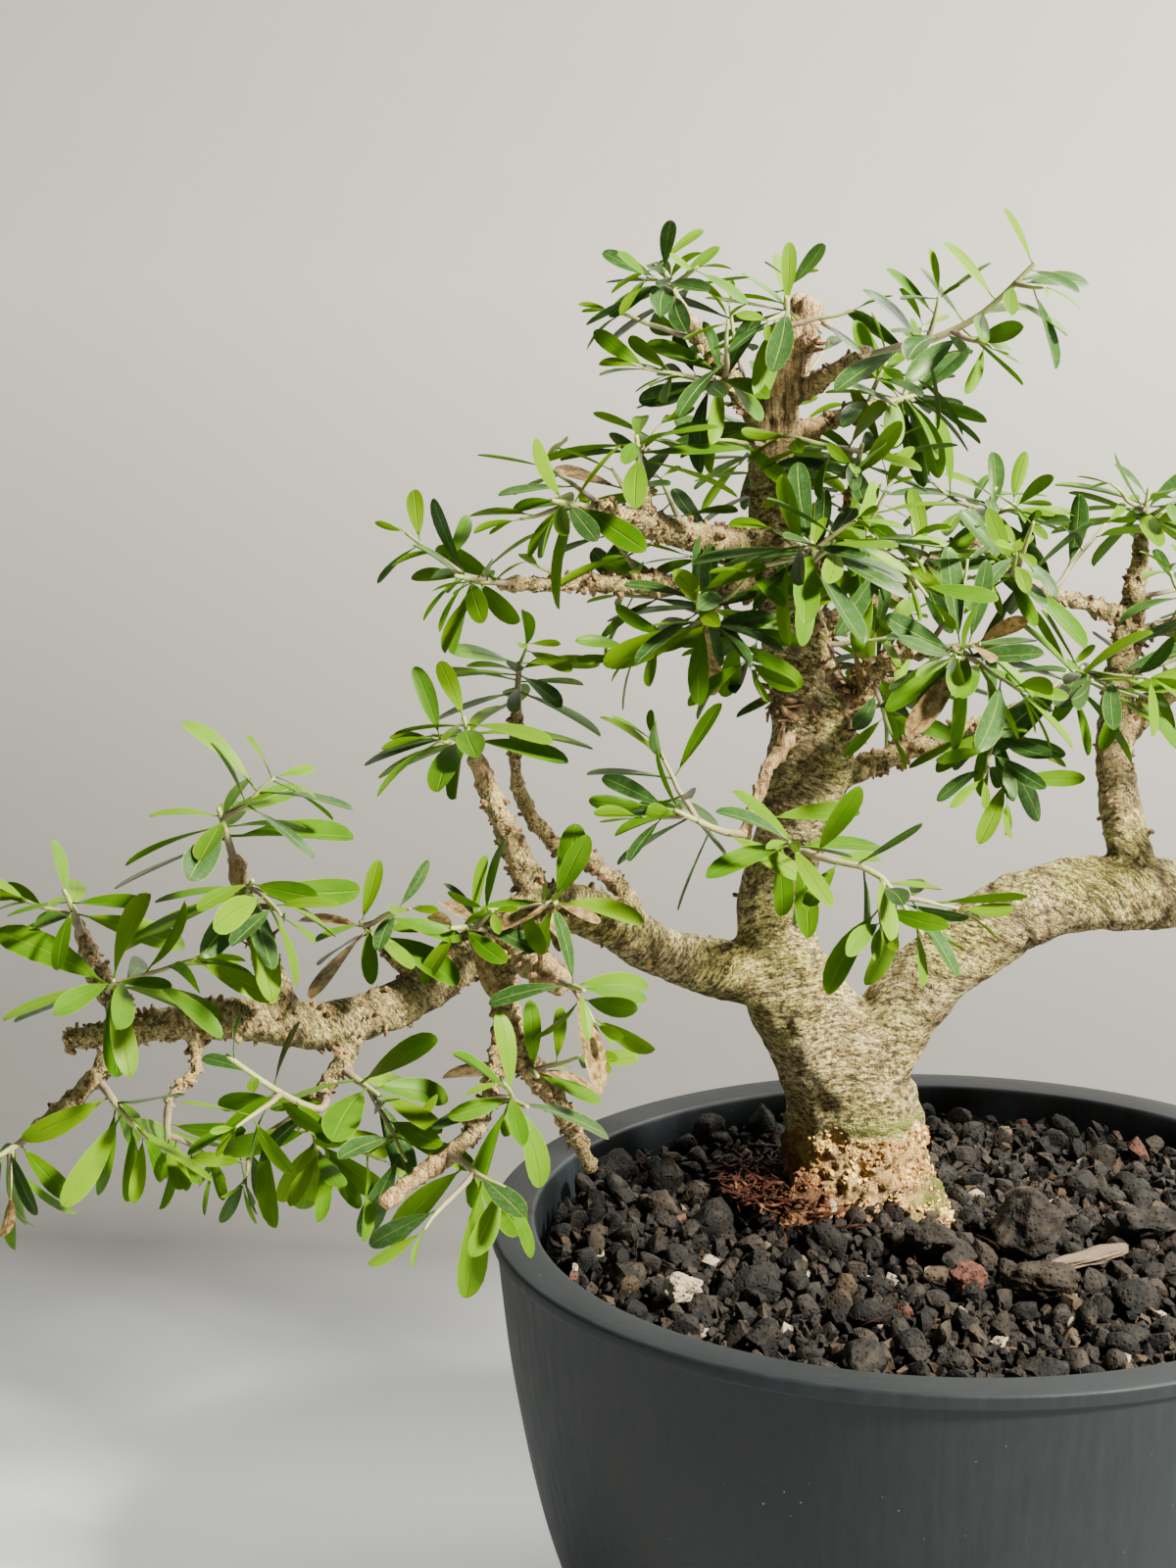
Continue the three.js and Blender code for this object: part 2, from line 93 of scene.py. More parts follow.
MM = 0.001
BODY = "root"
CAD_BOX = [list(corner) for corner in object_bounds()]
POT_HIGH = Vector(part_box("pot")[1])
RIM_RADIUS = POT_HIGH.x
SOIL_LOW, SOIL_HIGH = (Vector(corner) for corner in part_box("soil"))
DRAIN_AWAY, DRAIN_RADIUS = 32 * MM, 9 * MM
SHOOT_NODES = sorted(name for name in frame["nodes"] if name.startswith("shoot_"))
STONE_NODES = sorted(name for name in frame["nodes"] if name.startswith("stone_"))

# The looks of the loose stones, as the number that picks a lava grain's colour.
STONE_LOOKS = {"stone_large": 0.7, "stone_slab": 0.62, "stone_right": 0.5,
               "stone_brown": 0.85, "stone_red": 0.96, "stone_pale": 0.99}

# Middles, as x and y, of the trunk's foot, of the trunk in the crown, of the dead stump at its top, of the
# low mound of soil round it and of the heap of root fibres. Then heights, reaches and sides of its parts.
TRUNK_FOOT = (-22 * MM, 14 * MM)
TRUNK_AXIS = (-32 * MM, 14 * MM)
STUMP_AXIS = (-36 * MM, 14 * MM)
MOUND = (-20 * MM, 22 * MM)
FIBRES = (-22 * MM, 20 * MM)
ROOT_CROWN_TOP, ROOT_CROWN_REACH, MOSS_LINE = 127 * MM, 48 * MM, 128.5 * MM
LEFT_LIMBS = -62 * MM
CROWN_LOW, CROWN_HIGH = Vector((-105 * MM, -1, 222 * MM)), Vector((60 * MM, 1, 318 * MM))

# Places in mm: lines of dead limbs, cut ends, torn spots with their reach, where the trunk parts, the
# middle of the partly dry leaves, and wood that no leaf may hide.
DEAD_LIMBS = [[(-35, 7, 217), (-39, 0, 214), (-44, -8, 199)], [(-103, -55, 141), (-116, -63, 131)],
              [(-148, -36, 191), (-150, -36, 201)], [(-101, -11, 212), (-102, -11, 218)],
              [(-84, -33, 175), (-79, -39, 174)], [(-63, -3, 303), (-58, -2, 312)]]
CUT_ENDS = [(-150, -36, 199), (-102, -11, 216), (-80, -38, 174), (-115, -62, 132), (-190, -55, 142),
            (-33, 13, 312), (-182, -40, 183)]
TORN = [((-80, -38, 178), 9), ((-118, -50, 172), 8), ((-33, 13, 306), 8), ((-150, -36, 182), 8)]
PARTING = (-30, 12, 228)
WITHERED = (-98, -22, 178)
BARE_WOOD = [(-39, 13, 288), (-37, 13, 296), (-35, 13, 304), (-33, 13, 311), (-108, -58, 137),
             (-115, -62, 132), (-80, -38, 174), (-39, 0, 214), (-42, -4, 206), (-150, -36, 196),
             (-90, -24, 145), (-84, -22, 134)]
FRONT = Vector((0.16, -0.92, 0.35)).normalized()  # the way that the tree faces

# How the frame's plain leaves are made, a dry leaf's tone, how far past the plain tree's box a leaf may
# reach, and a live leaf's width at each share of its length.
LEAF_WIDEST, LEAF_BEND = 0.62, 0.1
DRY = 1.5
PAST_BOX = 6 * MM
LEAF_OUTLINE = ((0.0, 0.07), (0.12, 0.08), (0.20, 0.32), (0.32, 0.62), (0.46, 0.85),
                (0.60, 0.98), (0.73, 1.0), (0.85, 0.88), (0.94, 0.61), (0.985, 0.30))


# ------------------------------------------------------------------ settings


def length_setting(title, description, default):
    return bpy.props.FloatProperty(name=title, description=description, default=default,
                                   subtype="DISTANCE", unit="LENGTH")


def power_setting(title, description, default):
    return bpy.props.FloatProperty(name=title, description=description, default=default, unit="POWER")


def count_setting(title, description, default):
    return bpy.props.IntProperty(name=title, description=description, default=default)


def colour_setting(title, description, default):
    return bpy.props.FloatVectorProperty(name=title, description=description, default=default,
                                         subtype="COLOR", size=3, min=0.0, max=1.0)


class PotSettings(bpy.types.PropertyGroup):
    """Sizes and colour of the bowl."""

    sides: count_setting("Sides", "Segments round the bowl", 192)
    rim_width: length_setting("Rim width", "Width of the flat top of the rim", 10 * MM)
    wall: length_setting("Wall", "Thickness of the wall", 7 * MM)
    colour: colour_setting("Colour", "Colour of the plastic", (0.0064, 0.0088, 0.0108))


class WoodSettings(bpy.types.PropertyGroup):
    """Fineness of the bark and its colours."""

    voxel: length_setting("Fineness", "Size of the cells that the wood is rebuilt with", 0.78 * MM)
    swell: length_setting("Swell", "Gives back what the smoothing takes off", 0.4 * MM)
    spurs: bpy.props.FloatProperty(
        name="Spurs", description="Spurs on a square metre of the thinnest limbs", default=300000.0)
    tan: colour_setting("Bark", "Colour of the smooth bark", (0.37, 0.29, 0.12))


class LeafSettings(bpy.types.PropertyGroup):
    """Shape and colours of the leaves."""

    width: bpy.props.FloatProperty(
        name="Width", description="Width of a leaf as a share of its length", default=0.275, subtype="FACTOR")
    more: count_setting("Side twigs", "Side twigs tried on each shoot", 3)
    sprouts: count_setting("Sprouts", "Leafy twigs straight off the wood of the crown", 44)
    young: colour_setting("Young leaf", "Colour of a young leaf", (0.080, 0.195, 0.0))
    old: colour_setting("Old leaf", "Colour of an old leaf", (0.018, 0.056, 0.011))


class SoilSettings(bpy.types.PropertyGroup):
    """Sizes of the lava grains."""

    small: length_setting("Small grain", "Size of the small grains", 4.2 * MM)
    medium: length_setting("Medium grain", "Size of the medium grains", 7.4 * MM)
    large: length_setting("Large grain", "Size of the large grains", 11.5 * MM)
    seed: count_setting("Seed", "Order of the grains", 7)


class StageSettings(bpy.types.PropertyGroup):
    """Lamps and backdrop."""

    key_power: power_setting("Key lamp", "Power of the main lamp", 100.0)
    back_power: power_setting("Back lamp", "Power of the lamp behind the leaves", 20.0)
    fill_power: power_setting("Fill lamp", "Power of the weak lamp", 1.5)
    wall_power: power_setting("Wall lamp", "Power of the lamp on the wall behind", 74.0)
    shaded: colour_setting("Backdrop, shaded", "Colour low on the backdrop's left", (0.062, 0.064, 0.061))
    lit: colour_setting("Backdrop, lit", "Colour high on the backdrop's right", (0.45, 0.435, 0.405))


# ------------------------------------------------------------------ node helpers


def add_node(tree, kind, inputs=None, **settings):
    """A new node with its settings made, and its inputs set or linked."""
    made = tree.nodes.new(kind)
    for key, value in settings.items():
        setattr(made, key, value)
    for key, value in (inputs or {}).items():
        socket = made.inputs[key]
        if isinstance(value, bpy.types.NodeSocket):
            tree.links.new(value, socket)
        else:
            socket.default_value = value
    return made


def maths(tree, operation, first, second=0.0):
    return add_node(tree, "ShaderNodeMath", {0: first, 1: second}, operation=operation).outputs[0]


def between(tree, value, low, high, to_low=0.0, to_high=1.0):
    """value from low to high becomes to_low to to_high, held at the ends."""
    return add_node(tree, "ShaderNodeMapRange", {0: value, 1: low, 2: high, 3: to_low, 4: to_high}).outputs[0]


def mixed(tree, share, first, second, blend="MIX"):
    return add_node(tree, "ShaderNodeMix", {0: share, 6: first, 7: second},
                    data_type="RGBA", blend_type=blend).outputs[2]


def mottled(tree, value, low, high, first, second):
    """The first colour where value is low, turning to the second where it is high."""
    return mixed(tree, between(tree, value, low, high), colour(first), colour(second))


def stained(tree, share, base, rgb):
    """base with a share of one colour over it."""
    return mixed(tree, share, base, colour(rgb))


def added(tree, first, *others):
    for other in others:
        first = maths(tree, "ADD", first, other)
    return first


def times(tree, first, second):
    return maths(tree, "MULTIPLY", first, second)


def speckle(tree, vector, scale, detail=4.0, roughness=0.6):
    return add_node(tree, "ShaderNodeTexNoise",
                    {"Vector": vector, "Scale": scale, "Detail": detail, "Roughness": roughness}).outputs[0]


def colour(rgb):
    return (*rgb, 1.0)


def attribute(tree, name):
    return add_node(tree, "ShaderNodeAttribute", attribute_name=name).outputs["Fac"]


def place(tree):
    return add_node(tree, "ShaderNodeTexCoord").outputs["Object"]


def axes(tree, vector):
    return add_node(tree, "ShaderNodeSeparateXYZ", {0: vector}).outputs


def joined_axes(tree, x, y, z):
    return add_node(tree, "ShaderNodeCombineXYZ", {0: x, 1: y, 2: z}).outputs[0]


def stretched(tree, vector, scale):
    return add_node(tree, "ShaderNodeMapping", {"Vector": vector, "Scale": scale}).outputs[0]


def new_material(name):
    material = bpy.data.materials.new(name)
    material.use_nodes = True
    shader = material.node_tree.nodes["Principled BSDF"]
    return material, material.node_tree, shader


def bump(tree, height, distance, strength=1.0):
    return add_node(tree, "ShaderNodeBump",
                    {"Height": height, "Distance": distance, "Strength": strength}).outputs[0]


def surfaced(tree, shader, base, roughness, normal):
    """Links a material's colour, roughness and normal to its shader."""
    tree.links.new(base, shader.inputs["Base Color"])
    tree.links.new(roughness, shader.inputs["Roughness"])
    tree.links.new(normal, shader.inputs["Normal"])


def shader_group(name, inputs, outputs):
    """A new shader node group with these named inputs and outputs, and what it is given."""
    tree = bpy.data.node_groups.new(name, "ShaderNodeTree")
    for direction, sockets in (("INPUT", inputs), ("OUTPUT", outputs)):
        for title, kind in sockets.items():
            tree.interface.new_socket(title, in_out=direction, socket_type="NodeSocket" + kind)
    return tree, add_node(tree, "NodeGroupInput").outputs


def placed(tree, name, build, inputs):
    """Puts the group of that name, which is built once, in a material, and returns its outputs."""
    group = bpy.data.node_groups.get(name) or build(name)
    return add_node(tree, "ShaderNodeGroup", inputs, node_tree=group).outputs


def grit_group(name):
    """Pits and fine grit in broken stone: a height, and a mask of the pits."""
    tree, given = shader_group(name, {"Vector": "Vector", "Scale": "Float"},
                               {"Height": "Float", "Pits": "Float"})
    where, scale = given["Vector"], given["Scale"]
    coarse = speckle(tree, where, times(tree, scale, 520.0))
    fine = speckle(tree, where, times(tree, scale, 2200.0))
    cells = add_node(tree, "ShaderNodeTexVoronoi", {
        "Vector": where, "Scale": times(tree, scale, 900.0)}).outputs["Distance"]
    pits = between(tree, cells, 0.12, 0.4)
    height = added(tree, coarse, times(tree, fine, 0.4), times(tree, pits, 0.5))
    add_node(tree, "NodeGroupOutput", {"Height": height, "Pits": pits})
    return tree


def rusty_foot_group(name):
    """A mask of the root crown's left foot, where its bark is red-brown, with an edge that patches move."""
    tree, given = shader_group(name, {"Vector": "Vector", "Patches": "Float"}, {"Share": "Float"})
    x, _, z = axes(tree, given["Vector"])
    low_left = added(tree, x, times(tree, z, 0.8), times(tree, given["Patches"], 30 * MM))
    add_node(tree, "NodeGroupOutput", {"Share": between(tree, low_left, 79 * MM, 87 * MM, 0.9, 0.0)})
    return tree


def rusty_foot(tree, where, patches):
    return placed(tree, "Rusty foot", rusty_foot_group, {"Vector": where, "Patches": patches})["Share"]


# ------------------------------------------------------------------ mesh helpers


def new_piece(name, mesh, material=None):
    piece = bpy.data.objects.new(name, mesh)
    bpy.context.scene.collection.objects.link(piece)
    if material is not None:
        mesh.materials.clear()
        mesh.materials.append(material)
    mesh.shade_smooth()
    return piece


def kept_mesh(name, made):
    """The bmesh as a mesh of that name."""
    mesh = bpy.data.meshes.new(name)
    made.to_mesh(mesh)
    made.free()
    return mesh


def collected(title, shapes):
    """A collection of (name, mesh) shapes for a geometry tree to pick from."""
    kinds = bpy.data.collections.new(title)
    for name, mesh in shapes:
        kinds.objects.link(bpy.data.objects.new(name, mesh))
    return kinds


def dropped(kinds):
    for kind in list(kinds.objects):
        bpy.data.objects.remove(kind)
    bpy.data.collections.remove(kinds)


def random_way(chance, spread=1.0):
    return Vector([chance.gauss(0, spread) for _ in range(3)])


def mesh_from(name, vertices, faces):
    mesh = bpy.data.meshes.new(name)
    mesh.from_pydata([tuple(v) for v in vertices], [], faces)
    mesh.update()
    return mesh


def finish(piece, nodes):
    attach(piece, BODY)
    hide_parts(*nodes)


def merged_copy(node):
    """The mesh of a CAD node as a bmesh with its loose triangles joined."""
    made = bmesh.new()
    made.from_mesh(frame["nodes"][node].data)
    bmesh.ops.remove_doubles(made, verts=made.verts, dist=2e-6)
    return made


def with_modifiers(piece):
    """The piece's mesh as its modifiers leave it, put back on it as a plain mesh."""
    bpy.context.view_layer.update()
    shown = piece.evaluated_get(bpy.context.evaluated_depsgraph_get())
    mesh = bpy.data.meshes.new_from_object(shown)
    piece.modifiers.clear()
    piece.data = mesh
    return piece


def turned_mesh(name, outline, sides):
    """A closed mesh turned round Z from an outline that starts and ends on the axis."""
    vertices, rings = [], []
    for radius, height in outline:
        if radius < 1e-7:
            rings.append([len(vertices)])
            vertices.append((0.0, 0.0, height))
            continue
        rings.append(list(range(len(vertices), len(vertices) + sides)))
        for side in range(sides):
            turn = 2 * math.pi * side / sides
            vertices.append((radius * math.cos(turn), radius * math.sin(turn), height))
    faces = []
    for low, high in zip(rings, rings[1:]):
        for side in range(sides):
            nxt = (side + 1) % sides
            if len(low) == 1:
                faces.append((low[0], high[nxt], high[side]))
            elif len(high) == 1:
                faces.append((low[side], low[nxt], high[0]))
            else:
                faces.append((low[side], low[nxt], high[nxt], high[side]))
    return mesh_from(name, vertices, faces)


def arc(centre, radius, start, end, steps):
    """Points of an arc in the outline's plane, with angles in degrees."""
    angles = (math.radians(start + (end - start) * i / steps) for i in range(steps + 1))
    return [(centre[0] + radius * math.cos(a), centre[1] + radius * math.sin(a)) for a in angles]


def smooth_path(points, steps):
    """A Catmull-Rom line through points, with steps between each two."""
    points = [Vector(p) for p in points]
    ends = [2 * points[0] - points[1], *points, 2 * points[-1] - points[-2]]
    path = []
    for a, b, c, d in zip(ends, ends[1:], ends[2:], ends[3:]):
        for i in range(steps):
            t = i / steps
            path.append(0.5 * (2 * b + (c - a) * t + (2 * a - 5 * b + 4 * c - d) * t**2
                               + (3 * b - a - 3 * c + d) * t**3))
    return [*path, points[-1]]


# ------------------------------------------------------------------ geometry node helpers


def new_geometry_tree(name, inputs):
    """A geometry node tree with a geometry in and out and the named inputs."""
    tree = bpy.data.node_groups.new(name, "GeometryNodeTree")
    tree.interface.new_socket("Geometry", in_out="INPUT", socket_type="NodeSocketGeometry")
    for title, kind, default in inputs:
        socket = tree.interface.new_socket(title, in_out="INPUT", socket_type="NodeSocket" + kind)
        if default is not None:
            socket.default_value = default
    tree.interface.new_socket("Geometry", in_out="OUTPUT", socket_type="NodeSocketGeometry")
    return tree, add_node(tree, "NodeGroupInput").outputs


def run_tree(piece, tree, values):
    """Runs the tree on the piece with these inputs, and keeps the result as a plain mesh."""
    modifier = piece.modifiers.new(tree.name, "NODES")
    modifier.node_group = tree
    for item in tree.interface.items_tree:
        if item.in_out == "INPUT" and item.name in values:
            modifier[item.identifier] = values[item.name]
    return with_modifiers(piece)


def shapes_in(tree, collection):
    """The shapes of a collection, to be picked by number."""
    return add_node(tree, "GeometryNodeCollectionInfo", {
        "Collection": collection, "Separate Children": True, "Reset Children": True}).outputs[0]


def made_real(tree, instances, material):
    """The instances as one plain mesh in that material."""
    solid = add_node(tree, "GeometryNodeRealizeInstances", {"Geometry": instances}).outputs[0]
    return add_node(tree, "GeometryNodeSetMaterial", {"Geometry": solid, "Material": material}).outputs[0]


def named(tree, name, kind="FLOAT"):
    return add_node(tree, "GeometryNodeInputNamedAttribute", {"Name": name}, data_type=kind).outputs[0]


# ------------------------------------------------------------------ pot


def pot_material(settings):
    material, tree, shader = new_material("Grey bowl plastic")
    where = place(tree)
    x, y, z = axes(tree, where)
    turn = maths(tree, "ARCTAN2", y, x)
    flat = joined_axes(tree, times(tree, turn, RIM_RADIUS), 0.0, z)
    radius = maths(tree, "SQRT", added(tree, times(tree, x, x), times(tree, y, y)))
    on_top = between(tree, z, POT_HIGH.z - 0.6 * MM, POT_HIGH.z - 0.2 * MM)
    streaks = speckle(tree, stretched(tree, flat, (1.0, 1.0, 0.14)), 420.0, 5.0, 0.7)
    broad = speckle(tree, stretched(tree, flat, (1.0, 1.0, 0.35)), 28.0, 3.0, 0.5)
    rings = speckle(tree, joined_axes(tree, radius, times(tree, turn, 0.004), 0.0), 2600.0, 3.0, 0.6)
    worn = mixed(tree, on_top, streaks, rings)
    base = mixed(tree, between(tree, worn, 0.40, 0.72, 0.0, 0.7), colour(settings.colour),
                 colour([2.4 * c for c in settings.colour]))
    base = stained(tree, between(tree, broad, 0.4, 0.7, 0.0, 0.35), base, [1.6 * c for c in settings.colour])
    dots = add_node(tree, "ShaderNodeTexVoronoi", {"Vector": where, "Scale": 380.0, "Randomness": 1.0})
    size_of_dot = between(tree, speckle(tree, where, 90.0), 0.45, 0.75, 0.0, 0.085)
    dust = maths(tree, "LESS_THAN", dots.outputs["Distance"], size_of_dot)
    base = stained(tree, times(tree, dust, 0.6), base, (0.42, 0.38, 0.29))
    height = added(tree, times(tree, worn, 0.6), speckle(tree, where, 3000.0, 2.0, 0.5))
    rough = between(tree, worn, 0.3, 0.75, 0.46, 0.66)
    surfaced(tree, shader, base, rough, bump(tree, height, 0.05 * MM, 0.5))
    shader.inputs["Specular IOR Level"].default_value = 0.2
    return material


def pot_outline(settings):
    """The bowl's outline from the middle of its underside, round the rim, to the middle of its floor."""
    height = POT_HIGH.z
    band = 3.4 * MM
    foot, floor = 0.62 * RIM_RADIUS, 8 * MM
    inner_edge = RIM_RADIUS - settings.rim_width
    wall_top = height - band
    wall = smooth_path([(foot, 0, 0), (0.79 * RIM_RADIUS, 0, 20 * MM), (0.88 * RIM_RADIUS, 0, 42 * MM),
                        (0.95 * RIM_RADIUS, 0, 76 * MM), (RIM_RADIUS - 1.1 * MM, 0, wall_top)], 10)
    outside = [(point.x, point.z) for point in wall]
    inside = [(min(radius - settings.wall, inner_edge - 0.3 * MM), level) for radius, level in outside
              if level > floor + 4 * MM]
    return [
        (0, 0), (foot * 0.5, 0), (foot - 1.5 * MM, 0), (foot - 0.4 * MM, 0.15 * MM),
        *outside[1:],
        (RIM_RADIUS - 0.5 * MM, wall_top + 0.05 * MM),
        *arc((RIM_RADIUS - 0.6 * MM, wall_top + 0.65 * MM), 0.6 * MM, -80, 0, 4),
        *arc((RIM_RADIUS - 0.9 * MM, height - 0.95 * MM), 0.9 * MM, 5, 85, 6),
        (RIM_RADIUS - 4 * MM, height), (inner_edge + 4 * MM, height - 0.05 * MM),
        *arc((inner_edge + 1.2 * MM, height - 1.3 * MM), 1.2 * MM, 95, 175, 6),
        *reversed(inside),
        (foot - 2 * MM, floor), (foot * 0.5, floor), (0, floor),
    ]


def drill_mesh(centre, radius, low, high, sides=48):
    """A closed cylinder, turned a little so that none of its edges meets one of the bowl's."""
    turns = [2 * math.pi * (i + 0.37) / sides for i in range(sides)]
    ring = [(radius * math.cos(turn), radius * math.sin(turn)) for turn in turns]
    vertices = [(x + centre, y, z) for z in (low, high) for x, y in ring]
    faces = [tuple(reversed(range(sides))), tuple(range(sides, 2 * sides))]
    faces += [(i, (i + 1) % sides, sides + (i + 1) % sides, sides + i) for i in range(sides)]
    return mesh_from("drill", vertices, faces)


def build_pot(settings):
    piece = new_piece("bowl", turned_mesh("bowl", pot_outline(settings), settings.sides),
                      pot_material(settings))
    drills = []
    for side in (-1, 1):
        drill = new_piece("drill", drill_mesh(side * DRAIN_AWAY, DRAIN_RADIUS, -10 * MM, 20 * MM))
        cut = piece.modifiers.new("drain", "BOOLEAN")
        cut.operation, cut.solver, cut.object = "DIFFERENCE", "EXACT", drill
        drills.append(drill)
    with_modifiers(piece)
    for drill in drills:
        bpy.data.objects.remove(drill)
    piece.data.shade_smooth()
    piece.data.set_sharp_from_angle(angle=math.radians(40))
    finish(piece, ["pot"])


def screen_material():
    material, tree, shader = new_material("Drain screen plastic")
    moulded = speckle(tree, place(tree), 900.0, 3.0, 0.6)
    base = mixed(tree, moulded, colour((0.012, 0.014, 0.018)), colour((0.03, 0.034, 0.04)))
    surfaced(tree, shader, base, between(tree, moulded, 0.3, 0.7, 0.45, 0.65), bump(tree, moulded, 0.05 * MM))
    return material


# ------------------------------------------------------------------ soil


def grain_material():
    """Broken lava: near black, some grains brown, red or pale, by the grain's own number."""
    material, tree, shader = new_material("Lava grain")
    where = place(tree)
    grit = placed(tree, "Stone grit", grit_group, {"Vector": where, "Scale": 1.0})
    height, pits = grit["Height"], grit["Pits"]
    number = attribute(tree, "grain")
    ramp = add_node(tree, "ShaderNodeValToRGB", {0: number})
    ramp.color_ramp.interpolation = "CONSTANT"
    stops = [(0.0, (0.007, 0.007, 0.007)), (0.30, (0.012, 0.011, 0.010)), (0.56, (0.018, 0.015, 0.0125)),
             (0.78, (0.028, 0.022, 0.016)), (0.90, (0.046, 0.031, 0.019)), (0.957, (0.085, 0.034, 0.024)),
             (0.967, (0.13, 0.10, 0.066)), (0.984, (0.30, 0.25, 0.175))]
    for position, rgb in stops:
        stop = ramp.color_ramp.elements.new(position) if position > 0 else ramp.color_ramp.elements[0]
        stop.color = colour(rgb)
    ramp.color_ramp.elements.remove(ramp.color_ramp.elements[-1])
    dusty = speckle(tree, where, 260.0, 4.0, 0.65)
    base = stained(tree, between(tree, dusty, 0.48, 0.74, 0.0, 0.28), ramp.outputs[0], (0.095, 0.075, 0.05))
    # Painted shade: the pits, which the bump sinks into hollows, are darkened nearly to black.
    base = stained(tree, between(tree, pits, 0.0, 1.0, 0.7, 0.0), base, (0.005, 0.005, 0.005))
    surfaced(tree, shader, base, between(tree, height, 0.6, 1.4, 0.95, 0.72), bump(tree, height, 0.5 * MM))
    shader.inputs["Specular IOR Level"].default_value = 0.15
    return material


def strands(name, lines, sides=4):
    """Closed thin tubes, each along its own line of (point, radius)."""
    made = bmesh.new()
    for line in lines:
        rings = []
        for i, (spot, radius) in enumerate(line):
            before, after = line[max(i - 1, 0)][0], line[min(i + 1, len(line) - 1)][0]
            axis = (after - before).normalized()
            aside = axis.orthogonal().normalized()
            upward = axis.cross(aside)
            rings.append([made.verts.new(spot + radius * (aside * math.cos(a) + upward * math.sin(a)))
                          for a in (2 * math.pi * k / sides for k in range(sides))])
        for low, high in zip(rings, rings[1:]):
            turn = min(range(sides), key=lambda k: (low[0].co - high[k].co).length)
            for k in range(sides):
                made.faces.new((low[k], low[(k + 1) % sides], high[(k + 1 + turn) % sides],
                                high[(k + turn) % sides]))
        made.faces.new(rings[0])
        made.faces.new(rings[-1])
    bmesh.ops.recalc_face_normals(made, faces=made.faces)
    return kept_mesh(name, made)


def root_material():
    material, tree, shader = new_material("Root fibre")
    where = place(tree)
    mottle = speckle(tree, where, 700.0, 4.0, 0.7)
    patch = speckle(tree, where, 130.0, 2.0, 0.5)
    base = mottled(tree, mottle, 0.35, 0.65, (0.011, 0.004, 0.002), (0.052, 0.015, 0.006))
    base = stained(tree, between(tree, patch, 0.60, 0.68, 0.0, 0.8), base, (0.20, 0.10, 0.04))
    surfaced(tree, shader, base, between(tree, mottle, 0.3, 0.7, 0.95, 0.7), bump(tree, mottle, 0.2 * MM))
    shader.inputs["Specular IOR Level"].default_value = 0.15
    return material


def build_mulch():
    """Fine red-brown roots beside the foot of the trunk, and bits of straw over the grains."""
    chance = random.Random(51)
    top = SOIL_HIGH.z + 1.6 * MM
    roots, straws = 480, 40
    lines = []
    for i in range(roots + straws):
        if i < roots:
            turn, away = chance.gauss(math.radians(200), 0.5), chance.uniform(14, 29) * MM
            centre = Vector((FIBRES[0] + away * math.cos(turn), FIBRES[1] + away * math.sin(turn), 0))
            length, radius = chance.uniform(2, 8) * MM, chance.uniform(0.2, 0.7) * MM
        else:
            turn, away = chance.uniform(0, 2 * math.pi), math.sqrt(chance.random()) * 0.84 * RIM_RADIUS
            centre = Vector((away * math.cos(turn), away * math.sin(turn), 0))
            length, radius = chance.uniform(5, 13) * MM, chance.uniform(0.12, 0.22) * MM
        centre.z = top + mound(centre.x, centre.y) + chance.uniform(-0.5, 1.8) * MM
        facing = Vector((chance.gauss(0, 1), chance.gauss(0, 1), chance.gauss(0.1, 0.3))).normalized()
        bow = Vector((chance.gauss(0, 1), chance.gauss(0, 1), abs(chance.gauss(0, 0.6)))) * length * 0.12
        lines.append([(centre + facing * t * length / 2 + bow * (1 - t * t), radius * (1 - 0.6 * abs(t)))
                      for t in (-1, -0.4, 0.3, 1)])
    piece = new_piece("root_fibres", strands("root_fibres", lines), root_material())
    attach(piece, BODY)


def stone_mesh(name, seed, fineness, cuts=9, lump=0.16):
    """A broken stone of unit size: a ball cut by flat faces at set distances, then roughened."""
    made = bmesh.new()
    bmesh.ops.create_icosphere(made, subdivisions=fineness, radius=1.0)
    chance = random.Random(seed)
    faces = []
    for _ in range(cuts):
        direction = random_way(chance).normalized()
        faces.append((direction, chance.uniform(0.62, 0.9)))
    shift = Vector([chance.uniform(-50, 50) for _ in range(3)])
    for vertex in made.verts:
        for direction, depth in faces:
            over = vertex.co.dot(direction) - depth
            if over > 0:
                vertex.co -= direction * over * 0.92
        vertex.co *= 1 + lump * noise.fractal(vertex.co * 1.7 + shift, 0.9, 2.0, 3)
    return kept_mesh(name, made)


def grain_mesh(name, seed, corners, rough=0.0):
    """An angular crumb of unit size: the hull of points thrown round an uneven ball."""
    chance = random.Random(seed)
    made = bmesh.new()
    for _ in range(corners):
        spot = random_way(chance).normalized()
        made.verts.new(spot * chance.uniform(0.74, 1.02))
    bmesh.ops.convex_hull(made, input=made.verts)
    bmesh.ops.delete(made, geom=[vertex for vertex in made.verts if not vertex.link_faces], context="VERTS")
    if rough:
        shift = Vector([chance.uniform(-50, 50) for _ in range(3)])
        bmesh.ops.subdivide_edges(made, edges=made.edges, cuts=1, use_grid_fill=True, smooth=0.25)
        for vertex in made.verts:
            vertex.co *= 1 + rough * noise.fractal(vertex.co * 1.9 + shift, 0.8, 2.0, 3)
    bmesh.ops.triangulate(made, faces=made.faces)
    bmesh.ops.recalc_face_normals(made, faces=made.faces)
    mesh = kept_mesh(name, made)
    mesh.shade_smooth()
    mesh.set_sharp_from_angle(angle=math.radians(38))
    return mesh


